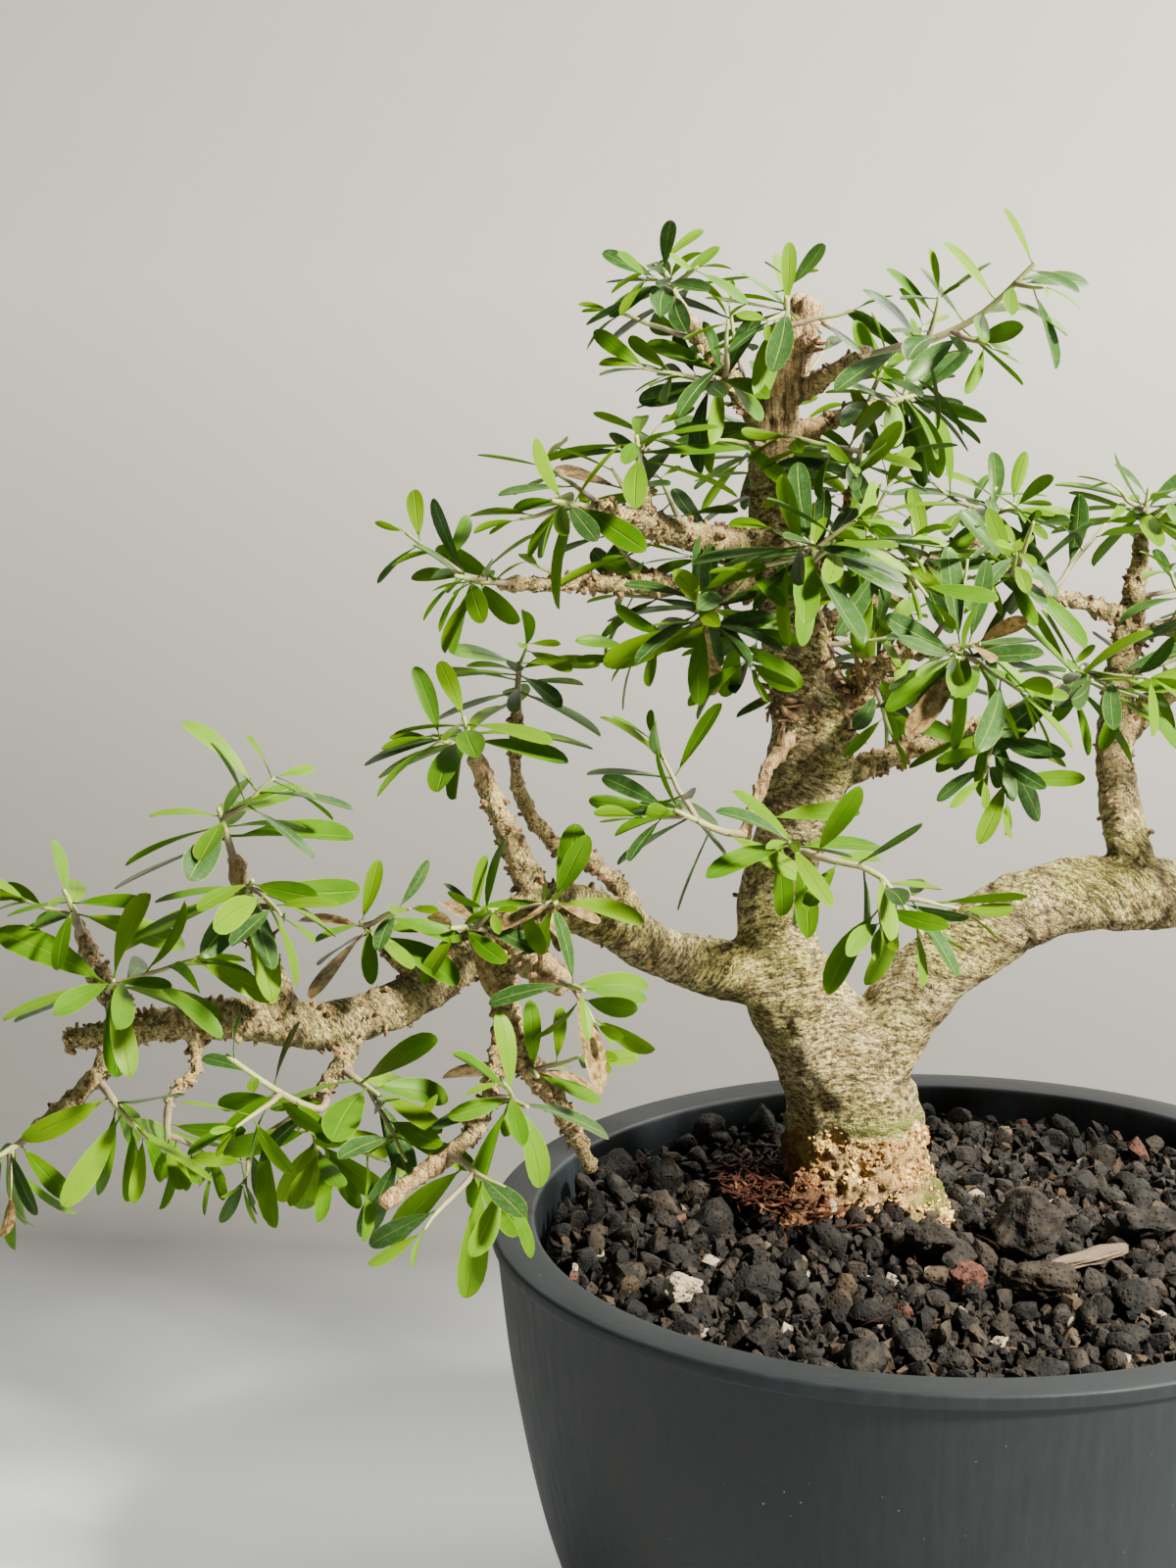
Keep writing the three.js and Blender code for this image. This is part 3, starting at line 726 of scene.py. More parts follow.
def grain_tree():
    """Scatters grains over a surface, each turned, sized and numbered at random."""
    tree, given = new_geometry_tree("Scattered grains", [
        ("Grains", "Collection", None), ("Size", "Float", 5 * MM), ("Spacing", "Float", 4 * MM),
        ("Share", "Float", 1.0), ("Seed", "Int", 0), ("Material", "Material", None)])
    points = add_node(tree, "GeometryNodeDistributePointsOnFaces", {
        "Mesh": given["Geometry"], "Distance Min": given["Spacing"],
        "Density Max": 400000.0, "Density Factor": given["Share"], "Seed": given["Seed"]},
        distribute_method="POISSON").outputs["Points"]
    kinds = shapes_in(tree, given["Grains"])

    def chance(kind, low, high, step):
        made = add_node(tree, "FunctionNodeRandomValue", data_type=kind)
        slots = {"FLOAT_VECTOR": (0, 1, 0), "FLOAT": (2, 3, 1), "INT": (4, 5, 2)}[kind]
        made.inputs[slots[0]].default_value = low
        made.inputs[slots[1]].default_value = high
        tree.links.new(added(tree, given["Seed"], step), made.inputs["Seed"])
        return made.outputs[slots[2]]

    turn = chance("FLOAT_VECTOR", (0, 0, 0), (6.283, 6.283, 6.283), 1)
    stretch = chance("FLOAT_VECTOR", (0.36, 0.36, 0.30), (0.62, 0.56, 0.46), 2)
    sized = add_node(tree, "ShaderNodeVectorMath", {0: stretch}, operation="SCALE")
    tree.links.new(given["Size"], sized.inputs["Scale"])
    grains = add_node(tree, "GeometryNodeInstanceOnPoints", {
        "Points": points, "Instance": kinds, "Pick Instance": True,
        "Instance Index": chance("INT", 0, 50, 3), "Rotation": turn, "Scale": sized.outputs[0]}).outputs[0]
    numbered = add_node(tree, "GeometryNodeStoreNamedAttribute", {
        "Geometry": grains, "Name": "grain", "Value": chance("FLOAT", 0.0, 1.0, 4)},
        domain="INSTANCE", data_type="FLOAT").outputs[0]
    add_node(tree, "NodeGroupOutput", {"Geometry": made_real(tree, numbered, given["Material"])})
    return tree


def mound(x, y):
    """The soil is drawn up a little round the foot of the trunk."""
    away = math.hypot(x - MOUND[0], y - MOUND[1])
    return 2.5 * MM * math.exp(-((away / (34 * MM)) ** 2))


def soil_surface(name, lift, edge, rings=60, sides=180):
    """The uneven top of the soil as a disc of radius edge, lift above the frame's soil."""
    vertices, faces = [], []
    for ring in range(rings + 1):
        radius = edge * ring / rings
        for side in range(sides):
            turn = 2 * math.pi * side / sides
            x, y = radius * math.cos(turn), radius * math.sin(turn)
            bumpy = noise.noise(Vector((x, y, 3.0)) / (14 * MM)) * 1.1 * MM
            vertices.append((x, y, SOIL_HIGH.z - 2 * MM + lift + bumpy + mound(x, y)))
    for ring in range(rings):
        for side in range(sides):
            nxt = (side + 1) % sides
            a, b = ring * sides, (ring + 1) * sides
            faces.append((a + side, b + side, b + nxt, a + nxt))
    return mesh_from(name, vertices, faces)


def soil_outline():
    """The outline of the body of soil, just inside the bowl's wall and under the loose grains."""
    return [(0, SOIL_LOW.z), (0.56 * RIM_RADIUS, SOIL_LOW.z), (0.70 * RIM_RADIUS, 22 * MM),
            (0.79 * RIM_RADIUS, 42 * MM), (0.86 * RIM_RADIUS, 76 * MM),
            (SOIL_HIGH.x, SOIL_HIGH.z - 8 * MM), (SOIL_HIGH.x, SOIL_HIGH.z - 5 * MM),
            (0.6 * SOIL_HIGH.x, SOIL_HIGH.z - 5 * MM), (0, SOIL_HIGH.z - 4.5 * MM)]


def build_soil(settings):
    material = grain_material()
    body = new_piece("soil_body", turned_mesh("soil_body", soil_outline(), 96), material)
    finish(body, ["soil"])
    tree = grain_tree()
    layers = [("bed", settings.small * 1.6, 0.62, -2.6 * MM, 12, 0.0, 1.0),
              ("small", settings.small, 0.78, -0.4 * MM, 13, 0.0, 0.9),
              ("medium", settings.medium, 0.86, 0.6 * MM, 18, 0.1, 0.62),
              ("large", settings.large, 1.2, 1.2 * MM, 22, 0.16, 0.36)]
    for order, (title, size, spacing, lift, corners, rough, share) in enumerate(layers):
        kinds = collected(f"{title} grains", (
            (f"{title}_grain_{kind}", grain_mesh(f"{title}_grain", 31 * order + kind, corners, rough))
            for kind in range(8)))
        edge = SOIL_HIGH.x - 0.42 * size
        layer = new_piece(f"{title}_grains", soil_surface(f"{title}_grains", lift, edge))
        run_tree(layer, tree, {"Grains": kinds, "Size": size, "Spacing": spacing * size, "Share": share,
                               "Seed": settings.seed + 10 * order, "Material": material})
        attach(layer, BODY)
        dropped(kinds)


def build_stones():
    """Each loose stone, broken and pitted, in the place its plain solid holds."""
    material = grain_material()
    material.name = "Loose stone"
    for order, node in enumerate(STONE_NODES):
        low, high = (Vector(corner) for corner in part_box(node))
        half, middle = (high - low) / 2, (low + high) / 2
        mesh = stone_mesh(node + "_broken", 400 + order, 5, cuts=14, lump=0.2)
        sink = 0.45 * half.z
        mesh.transform(Matrix.Translation(middle - Vector((0, 0, sink)))
                       @ Matrix.Diagonal((*(half * 1.16), 1.0)))
        number = mesh.attributes.new("grain", "FLOAT", "POINT")
        number.data.foreach_set("value", [STONE_LOOKS[node]] * len(mesh.vertices))
        finish(new_piece(node + "_broken", mesh, material), [node])


def chip_material():
    material, tree, shader = new_material("Weathered wood chip")
    fibres = speckle(tree, stretched(tree, place(tree), (0.25, 1.0, 1.0)), 1600.0, 4.0, 0.6)
    base = mixed(tree, fibres, colour((0.05, 0.033, 0.022)), colour((0.20, 0.14, 0.085)))
    surfaced(tree, shader, base, between(tree, fibres, 0.3, 0.7, 0.95, 0.75), bump(tree, fibres, 0.3 * MM))
    return material


def build_chip():
    low, high = (Vector(corner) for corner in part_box("wood_chip"))
    made = bmesh.new()
    bmesh.ops.create_cube(made, size=1.0)
    bmesh.ops.subdivide_edges(made, edges=made.edges, cuts=11, use_grid_fill=True)
    length = (high - low).xy.length
    facing = Matrix.Rotation(math.atan2(high.y - low.y, high.x - low.x), 4, "Z")
    for vertex in made.verts:
        taper = 1 - 0.5 * abs(vertex.co.x * 2) ** 3
        rough = noise.noise(Vector((vertex.co.x * 3, vertex.co.y * 9, vertex.co.z * 9)))
        vertex.co = Vector((vertex.co.x * length * 1.15, vertex.co.y * 4.2 * MM * taper * (1 + 0.4 * rough),
                            vertex.co.z * 1.8 * MM * (1 + 0.5 * rough)))
    mesh = kept_mesh("bark_chip", made)
    mesh.transform(Matrix.Translation((low + high) / 2) @ facing)
    finish(new_piece("bark_chip", mesh, chip_material()), ["wood_chip"])


# ------------------------------------------------------------------ wood


def bark_patterns(tree, where):
    """The noises that the bark is made from; the ringed ones follow the way from the trunk's foot."""
    along = attribute(tree, "along")

    def ringed(scale, squeeze, detail, roughness):
        return add_node(tree, "ShaderNodeTexNoise", {
            "Vector": where, "W": times(tree, along, squeeze), "Scale": scale, "Detail": detail,
            "Roughness": roughness}, noise_dimensions="4D").outputs[0]

    crackle = add_node(tree, "ShaderNodeTexVoronoi", {
        "Vector": where, "W": times(tree, along, 1.6), "Scale": 560.0, "Randomness": 1.0},
        feature="DISTANCE_TO_EDGE", voronoi_dimensions="4D").outputs["Distance"]
    return SimpleNamespace(
        ridges=ringed(700.0, 1.2, 6.0, 0.8),
        dashes=ringed(260.0, 5.5, 4.0, 0.7),
        bands=ringed(110.0, 2.5, 3.0, 0.55),
        cracks=between(tree, crackle, 0.02, 0.10, 1.0, 0.0),
        patches=speckle(tree, where, 55.0, 4.0, 0.6),
        fine=speckle(tree, where, 1700.0, 3.0, 0.65),
        lumps=speckle(tree, where, 420.0, 4.0, 0.7),
        flakes=speckle(tree, stretched(tree, where, (1.0, 1.0, 0.7)), 380.0, 6.0, 0.75),
        fibres=speckle(tree, stretched(tree, where, (1.0, 1.0, 0.07)), 1300.0, 5.0, 0.65),
        splits=speckle(tree, stretched(tree, where, (1.0, 1.0, 0.06)), 420.0, 3.0, 0.6))


def living_bark(tree, seen, tan):
    """Tan bark with fine rings and pale dashes, greener in patches and darker in bands."""
    grain = added(tree, times(tree, seen.ridges, 0.7), times(tree, seen.dashes, 0.3))
    ramp = add_node(tree, "ShaderNodeValToRGB", {0: grain})
    shades = [(0.41, (0.022, 0.015, 0.006)), (0.46, (0.115, 0.085, 0.03)), (0.492, tan),
              (0.524, (0.60, 0.48, 0.20)), (0.565, (0.93, 0.82, 0.45))]
    for i, (position, rgb) in enumerate(shades):
        stop = ramp.color_ramp.elements[i] if i < 2 else ramp.color_ramp.elements.new(position)
        stop.position, stop.color = position, colour(rgb)
    base = ramp.outputs[0]
    greener = mixed(tree, 1.0, base, colour((0.80, 0.88, 0.50)), "MULTIPLY")
    base = mixed(tree, between(tree, seen.patches, 0.40, 0.62), base, greener)
    darker = mixed(tree, 1.0, base, colour((0.34, 0.28, 0.18)), "MULTIPLY")
    base = mixed(tree, between(tree, seen.bands, 0.38, 0.54, 0.85, 0.0), base, darker)
    base = stained(tree, between(tree, seen.dashes, 0.56, 0.64, 0.0, 0.4), base, (0.88, 0.78, 0.48))
    base = stained(tree, times(tree, seen.cracks, 0.4), base, (0.07, 0.05, 0.025))
    return mixed(tree, between(tree, seen.fine, 0.40, 0.50, 0.6, 0.0), base, darker)


def twig_bark(tree, seen):
    base = mottled(tree, seen.lumps, 0.43, 0.56, (0.045, 0.024, 0.008), (0.50, 0.36, 0.13))
    # The pale yellow flecks are partly the bark's own flecks and partly painted highlights.
    return stained(tree, between(tree, seen.fine, 0.50, 0.60, 0.0, 0.7), base, (0.84, 0.67, 0.30))


def root_crown_bark(tree, seen, where):
    """Rust and gold flakes, olive in patches and red-brown at the left foot."""
    base = mottled(tree, seen.flakes, 0.40, 0.56, (0.11, 0.036, 0.012), (0.70, 0.44, 0.18))
    base = stained(tree, between(tree, seen.lumps, 0.48, 0.60, 0.0, 0.85), base, (0.98, 0.71, 0.24))
    base = stained(tree, between(tree, seen.patches, 0.56, 0.62, 0.0, 0.55), base, (0.50, 0.47, 0.08))
    return stained(tree, rusty_foot(tree, where, seen.patches), base, (0.10, 0.032, 0.012))


def dead_wood(tree, seen):
    base = mottled(tree, seen.fibres, 0.35, 0.65, (0.28, 0.15, 0.05), (0.74, 0.53, 0.24))
    return stained(tree, between(tree, seen.splits, 0.36, 0.45, 0.85, 0.0), base, (0.06, 0.035, 0.02))


def bark_material(settings):
    material, tree, shader = new_material("Bonsai bark")
    where = place(tree)
    seen = bark_patterns(tree, where)
    crumbly, dead = attribute(tree, "crumbly"), attribute(tree, "dead")
    thin = between(tree, attribute(tree, "girth"), 5 * MM, 10 * MM, 1.0, 0.0)
    torn = between(tree, attribute(tree, "torn"), 0.05, 0.5, 0.0, 0.85)
    chewed = mottled(tree, seen.lumps, 0.42, 0.60, (0.035, 0.018, 0.008), (0.36, 0.24, 0.115))
    moss = times(tree, attribute(tree, "moss"), between(tree, seen.flakes, 0.36, 0.54))
    mossy = mixed(tree, seen.fine, colour((0.06, 0.085, 0.008)), colour((0.24, 0.27, 0.03)))

    base = living_bark(tree, seen, settings.tan)
    for share, over in ((times(tree, thin, 0.8), twig_bark(tree, seen)), (torn, chewed),
                        (crumbly, root_crown_bark(tree, seen, where)), (moss, mossy),
                        (dead, dead_wood(tree, seen))):
        base = mixed(tree, share, base, over)
    base = stained(tree, times(tree, attribute(tree, "scar"), 0.75), base, (0.06, 0.036, 0.02))

    height = added(tree, times(tree, seen.ridges, 0.9), times(tree, seen.dashes, 0.8),
                   times(tree, seen.bands, 1.2))
    height = maths(tree, "SUBTRACT", height, times(tree, seen.cracks, 0.3))
    for what, share, amount in ((seen.flakes, crumbly, 3.5), (seen.splits, dead, 2.5),
                                (seen.lumps, thin, 1.6)):
        height = added(tree, height, times(tree, times(tree, what, share), amount))
    rough = between(tree, seen.ridges, 0.35, 0.7, 0.85, 0.55)
    surfaced(tree, shader, base, rough, bump(tree, height, 1.0 * MM))
    shader.inputs["Specular IOR Level"].default_value = 0.4
    return material


def spur_mesh(name, seed, thick=(0.28, 0.5), taper=0.72):
    """A short rough spur of unit height, pointing up: a bent five-sided cone with a closed foot."""
    chance = random.Random(seed)
    bend = Vector((chance.uniform(-0.5, 0.5), chance.uniform(-0.5, 0.5), 0))
    line = [(Vector((0, 0, -0.25)), chance.uniform(*thick))]
    for height in (0.3, 0.65, 1.0):
        line.append((bend * height * height + Vector((0, 0, height)),
                     line[0][1] * (1 - taper * height) * chance.uniform(0.7, 1.25)))
    return strands(name, [line], sides=5)


def crumb_material():
    material, tree, shader = new_material("Crumbled root bark")
    where = place(tree)
    fine = speckle(tree, where, 900.0, 5.0, 0.7)
    patch = speckle(tree, where, 95.0, 3.0, 0.6)
    base = mottled(tree, fine, 0.40, 0.60, (0.40, 0.20, 0.055), (0.94, 0.66, 0.21))
    base = stained(tree, between(tree, patch, 0.52, 0.58, 0.0, 0.75), base, (0.20, 0.08, 0.022))
    base = stained(tree, between(tree, patch, 0.38, 0.45, 0.7, 0.0), base, (0.98, 0.78, 0.27))
    base = stained(tree, rusty_foot(tree, where, patch), base, (0.13, 0.04, 0.015))
    tree.links.new(base, shader.inputs["Base Color"])
    tree.links.new(bump(tree, fine, 0.3 * MM), shader.inputs["Normal"])
    shader.inputs["Roughness"].default_value = 0.9
    shader.inputs["Specular IOR Level"].default_value = 0.2
    return material


def spur_tree():
    """Scatters spurs over the wood where its spurs attribute says, standing out from it."""
    tree, given = new_geometry_tree("Bark spurs", [
        ("Spurs", "Collection", None), ("Where", "String", "spurs"), ("Density", "Float", 90000.0),
        ("Seed", "Int", 3), ("Smallest", "Float", 0.6 * MM), ("Largest", "Float", 1.9 * MM),
        ("Material", "Material", None)])
    spots = add_node(tree, "GeometryNodeDistributePointsOnFaces", {
        "Mesh": given["Geometry"], "Seed": given["Seed"]}, distribute_method="RANDOM")
    tree.links.new(times(tree, given["Density"], named(tree, given["Where"])), spots.inputs["Density"])
    kinds = shapes_in(tree, given["Spurs"])
    tilt = add_node(tree, "FunctionNodeRandomValue", {0: (-0.7, -0.7, -3.14), 1: (0.7, 0.7, 3.14), "Seed": 5},
                    data_type="FLOAT_VECTOR").outputs[0]
    turned = add_node(tree, "FunctionNodeRotateRotation", {
        "Rotation": spots.outputs["Rotation"],
        "Rotate By": add_node(tree, "FunctionNodeEulerToRotation", {0: tilt}).outputs[0]},
        rotation_space="LOCAL").outputs[0]
    size = add_node(tree, "FunctionNodeRandomValue", {"Seed": 9}, data_type="FLOAT")
    tree.links.new(given["Smallest"], size.inputs[2])
    tree.links.new(given["Largest"], size.inputs[3])
    which = add_node(tree, "FunctionNodeRandomValue", {4: 0, 5: 50, "Seed": 11}, data_type="INT").outputs[2]
    spurs = add_node(tree, "GeometryNodeInstanceOnPoints", {
        "Points": spots.outputs["Points"], "Instance": kinds, "Pick Instance": True, "Instance Index": which,
        "Rotation": turned, "Scale": size.outputs[1]}).outputs[0]
    add_node(tree, "NodeGroupOutput", {"Geometry": made_real(tree, spurs, given["Material"])})
    return tree


def spur_material():
    material, tree, shader = new_material("Bud scale")
    where = place(tree)
    mottle = speckle(tree, where, 500.0, 4.0, 0.7)
    patch = speckle(tree, where, 120.0, 2.0, 0.5)
    base = mottled(tree, mottle, 0.38, 0.62, (0.05, 0.022, 0.008), (0.30, 0.18, 0.065))
    base = stained(tree, between(tree, patch, 0.58, 0.64, 0.0, 0.6), base, (0.50, 0.35, 0.12))
    surfaced(tree, shader, base, between(tree, mottle, 0.3, 0.7, 0.9, 0.65), bump(tree, mottle, 0.15 * MM))
    return material


def build_spurs(wood, settings):
    """Buds and scales on the thin limbs, fibres where wood tore, and crumbs round the root crown."""
    tree, look = spur_tree(), spur_material()
    stubby = [spur_mesh(f"spur_{i}", 70 + i, (0.5, 0.85), 0.55) for i in range(7)]
    slim = [spur_mesh(f"fibre_{i}", 170 + i, (0.10, 0.26), 0.6) for i in range(7)]
    crumbs = [grain_mesh(f"crumb_{i}", 270 + i, 8) for i in range(8)]
    for name, where, density, smallest, largest, shapes, material in (
            ("bark_spurs", "spurs", settings.spurs, 0.5 * MM, 1.5 * MM, stubby, look),
            ("torn_fibres", "torn", 420000.0, 1.0 * MM, 4.8 * MM, slim, look),
            ("root_crumbs", "crumbs", 1100000.0, 0.2 * MM, 1.0 * MM, crumbs, crumb_material())):
        kinds = collected(f"{name} kinds", ((shape.name, shape) for shape in shapes))
        piece = new_piece(name, wood.data.copy())
        run_tree(piece, tree, {"Spurs": kinds, "Where": where, "Density": density, "Smallest": smallest,
                               "Largest": largest, "Material": material})
        piece.data.shade_flat()
        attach(piece, BODY)
        dropped(kinds)


def wood_mesh(settings):
    """The frame's wood rebuilt as one fine, evenly meshed skin and smoothed."""
    piece = new_piece("tree", kept_mesh("tree", merged_copy("trunk_and_branches")))
    remesh = piece.modifiers.new("skin", "REMESH")
    remesh.mode, remesh.voxel_size = "VOXEL", settings.voxel
    smooth = piece.modifiers.new("smooth", "SMOOTH")
    smooth.factor, smooth.iterations = 0.5, 9
    return with_modifiers(piece)


def neighbours_of(mesh):
    pairs = np.empty(len(mesh.edges) * 2, dtype=np.int64)
    mesh.edges.foreach_get("vertices", pairs)
    return pairs.reshape(-1, 2)


def averaged(values, pairs, rounds):
    """Values at the vertices, averaged with their neighbours a few times."""
    count = np.zeros(len(values))
    np.add.at(count, pairs[:, 0], 1)
    np.add.at(count, pairs[:, 1], 1)
    for _ in range(rounds):
        total = np.zeros_like(values)
        np.add.at(total, pairs[:, 0], values[pairs[:, 1]])
        np.add.at(total, pairs[:, 1], values[pairs[:, 0]])
        share = total / count.reshape((-1,) + (1,) * (values.ndim - 1))
        values = 0.5 * values + 0.5 * share
    return values


def way_from_base(places, pairs):
    """How far each vertex is from the foot of the trunk, along the surface."""
    links = [[] for _ in places]
    lengths = np.linalg.norm(places[pairs[:, 0]] - places[pairs[:, 1]], axis=1)
    for (a, b), length in zip(pairs.tolist(), lengths.tolist()):
        links[a].append((b, length))
        links[b].append((a, length))
    far = [math.inf] * len(places)
    queue = []
    for vertex in np.nonzero(places[:, 2] < places[:, 2].min() + 4 * MM)[0].tolist():
        far[vertex] = 0.0
        queue.append((0.0, vertex))
    heapq.heapify(queue)
    while queue:
        reached, vertex = heapq.heappop(queue)
        if reached > far[vertex]:
            continue
        for other, length in links[vertex]:
            if reached + length < far[other]:
                far[other] = reached + length
                heapq.heappush(queue, (far[other], other))
    return np.array([value if math.isfinite(value) else 0.0 for value in far])


def thickness_at(mesh, places, normals):
    """The way straight through the wood from each vertex."""
    skin = BVHTree.FromPolygons([Vector(spot) for spot in places.tolist()],
                                [tuple(face.vertices) for face in mesh.polygons])
    through = np.empty(len(places))
    for i, (spot, facing) in enumerate(zip(places.tolist(), normals.tolist())):
        inward = -Vector(facing)
        hit = skin.ray_cast(Vector(spot) + inward * 0.05 * MM, inward)
        through[i] = min(hit[3], 45 * MM) if hit[0] is not None else 3 * MM
    return through


def ramp01(values, low, high):
    return np.clip((values - low) / (high - low), 0.0, 1.0)


def near_line(places, line):
    """How far each place is from a line through points that are given in mm."""
    line = np.array(line) * MM
    nearest = np.full(len(places), np.inf)
    for a, b in zip(line, line[1:]):
        share = np.clip((places - a) @ (b - a) / ((b - a) @ (b - a)), 0, 1)
        nearest = np.minimum(nearest, np.linalg.norm(places - a - share[:, None] * (b - a), axis=1))
    return nearest


def away_from(places, spot):
    """How far each place is from a spot given in mm."""
    return np.linalg.norm(places - np.array(spot) * MM, axis=1)


def noise_at(places, cell):
    return np.array([noise.noise(Vector(spot) / cell) for spot in places.tolist()])


def read_mesh(mesh):
    """Places and normals of the mesh's vertices, a row for each."""
    places, normals = np.empty(len(mesh.vertices) * 3), np.empty(len(mesh.vertices) * 3)
    mesh.vertices.foreach_get("co", places)
    mesh.vertex_normals.foreach_get("vector", normals)
    return places.reshape(-1, 3), normals.reshape(-1, 3)


def crumbly_at(places):
    """1 on the crumbled root crown, up to a ragged edge."""
    x, y, z = places.T
    crumbly = ramp01(z, 128 * MM, 123 * MM)
    for i, spot in enumerate(places.tolist()):
        if 110 * MM < spot[2] < 140 * MM:
            wander = noise.noise(Vector(spot) / (6 * MM)) * 3 * MM
            crumbly[i] = min(max((ROOT_CROWN_TOP + wander - spot[2]) / (1.5 * MM), 0.0), 1.0)
    return crumbly * (np.hypot(x - TRUNK_FOOT[0], y - TRUNK_FOOT[1]) < ROOT_CROWN_REACH)


def moss_at(x, z, girth):
    """Moss in a line over the root crown, and low on its right."""
    moss = np.exp(-(((z - MOSS_LINE) / (1.4 * MM)) ** 2)) * ramp01(x, -30 * MM, -18 * MM)
    moss += ramp01(x, -8 * MM, -3 * MM) * ramp01(z, 122 * MM, 116 * MM)
    return moss * ramp01(girth, 12 * MM, 20 * MM)


def dead_at(places, girth, stump):
    """1 on wood without bark: the stump at the trunk's top, dead limbs and cut ends."""
    dead = stump
    for line in DEAD_LIMBS:
        near = ramp01(near_line(places, line), 4.4 * MM, 3.2 * MM)
        dead = np.maximum(dead, near * ramp01(girth, 8 * MM, 6 * MM))
    for end in CUT_ENDS:
        dead = np.maximum(dead, ramp01(away_from(places, end), 4.6 * MM, 2.6 * MM))
    return dead


def scars_at(places, centres, along, girth):
    """Scars that wind along the right limb and, weaker, the other way along the left one."""
    x, _, z = places.T
    arm = places - centres
    angle = np.arctan2(arm[:, 2], arm[:, 1]) / (2 * math.pi)
    right = ramp01(x, -6 * MM, 4 * MM) * ramp01(girth, 9 * MM, 12 * MM) * (z < 195 * MM)
    left = ramp01(x, -44 * MM, -52 * MM) * ramp01(girth, 6 * MM, 9 * MM) * (z > 150 * MM)

    def winding(turn, width):
        return np.exp(-(((turn % 1.0 - 0.5) / width) ** 2))

    return np.maximum(winding(along / (30 * MM) + angle, 0.035) * right,
                      0.6 * winding(along / (17 * MM) - angle, 0.05) * left)


def lift_at(*columns):
    """How far the bark stands out, from places, along, girth, thin, crumbly and stump at each vertex."""
    lift = []
    for spot, ring, wide, thin, crumbly, stump in zip(*(column.tolist() for column in columns)):
        spot = Vector(spot)
        swell = noise.fractal(spot / (11 * MM), 1.0, 2.0, 3) * min(wide * 0.06, 1.1 * MM)
        knots = noise.fractal(spot / (3.2 * MM), 1.0, 2.0, 2) * (0.18 + 0.5 * thin) * MM
        flat = Vector((ring / (1.5 * MM), spot.x / (5 * MM), (spot.y + spot.z) / (5 * MM)))
        ridge = noise.noise(flat) * 0.13 * MM
        joint = max(math.cos(2 * math.pi * ring / (5.5 * MM) + 2 * noise.noise(spot / (9 * MM))), 0.0) ** 3
        rough = noise.fractal(spot / (2.6 * MM), 0.8, 2.0, 3) * 1.5 * MM * crumbly
        torn = noise.fractal(Vector((spot.x, spot.y, spot.z * 0.12)) / (1.7 * MM), 1.0, 2.0, 2) * stump
        lift.append(swell + knots + ridge + rough + joint * 0.5 * MM * thin + torn * 1.1 * MM)
    return np.array(lift)


def scatter_shares(places, z, girth, thin, dead, crumbly):
    """Where the spurs, the torn fibres and the crumbs stand, as a share from 0 to 1 at each vertex."""
    parting = np.exp(-((away_from(places, PARTING) / (14 * MM)) ** 2))
    chewed = np.clip(parting * 1.6 + 0.25 * (np.maximum(noise_at(places, 8 * MM), 0) * 2), 0, 1)
    spurs = (0.10 + 0.9 * thin) * (0.25 + chewed) * (1 - dead) * (z > 132 * MM)
    spurs *= np.maximum(ramp01(girth, 17 * MM, 9 * MM), np.clip(parting * 2, 0, 1))
    patchy = noise_at(places, 5 * MM)
    torn = np.clip(parting * 1.3 - 0.25, 0, 1) * ramp01(patchy, 0.0, 0.35)
    for spot, reach in TORN:
        near = ramp01(away_from(places, spot), reach * MM, 0.6 * reach * MM)
        torn = np.maximum(torn, 0.6 * near * ramp01(patchy, -0.1, 0.3))
    crumbs = crumbly * ramp01(patchy, -0.25, 0.15) * (z > 96 * MM)
    return spurs, torn, crumbs


def build_wood(settings):
    piece = wood_mesh(settings)
    mesh = piece.data
    places, normals = read_mesh(mesh)
    pairs = neighbours_of(mesh)
    along = averaged(way_from_base(places, pairs), pairs, 6)
    girth = averaged(thickness_at(mesh, places, normals), pairs, 12)
    centres = averaged(places - normals * (girth / 2)[:, None], pairs, 10)
    even = averaged(normals, pairs, 3)

    x, y, z = places.T
    thin = ramp01(girth, 11 * MM, 6 * MM)
    crumbly = crumbly_at(places)
    moss = moss_at(x, z, girth)
    stump = ramp01(z, 272 * MM, 284 * MM) * (np.hypot(x - STUMP_AXIS[0], y - STUMP_AXIS[1]) < 9 * MM)
    dead = dead_at(places, girth, stump)
    scar = scars_at(places, centres, along, girth)
    lift = lift_at(places, along, girth, thin, crumbly, stump)
    lift += settings.swell - scar * 0.9 * MM + np.minimum(moss, 1) * 0.5 * MM
    places = places + even * lift[:, None]
    mesh.vertices.foreach_set("co", places.reshape(-1))
    spurs, torn, crumbs = scatter_shares(places, z, girth, thin, dead, crumbly)
    for name, values in (("along", along), ("girth", girth), ("crumbly", crumbly), ("dead", dead),
                         ("crumbs", crumbs), ("scar", scar), ("moss", np.clip(moss, 0, 1)),
                         ("spurs", spurs), ("torn", torn)):
        made = mesh.attributes.new(name, "FLOAT", "POINT")
        made.data.foreach_set("value", values.astype(np.float32))
    mesh.update()
    mesh.shade_smooth()
    mesh.materials.clear()
    mesh.materials.append(bark_material(settings))
    finish(piece, ["trunk_and_branches"])
    build_spurs(piece, settings)


# ------------------------------------------------------------------ leaves


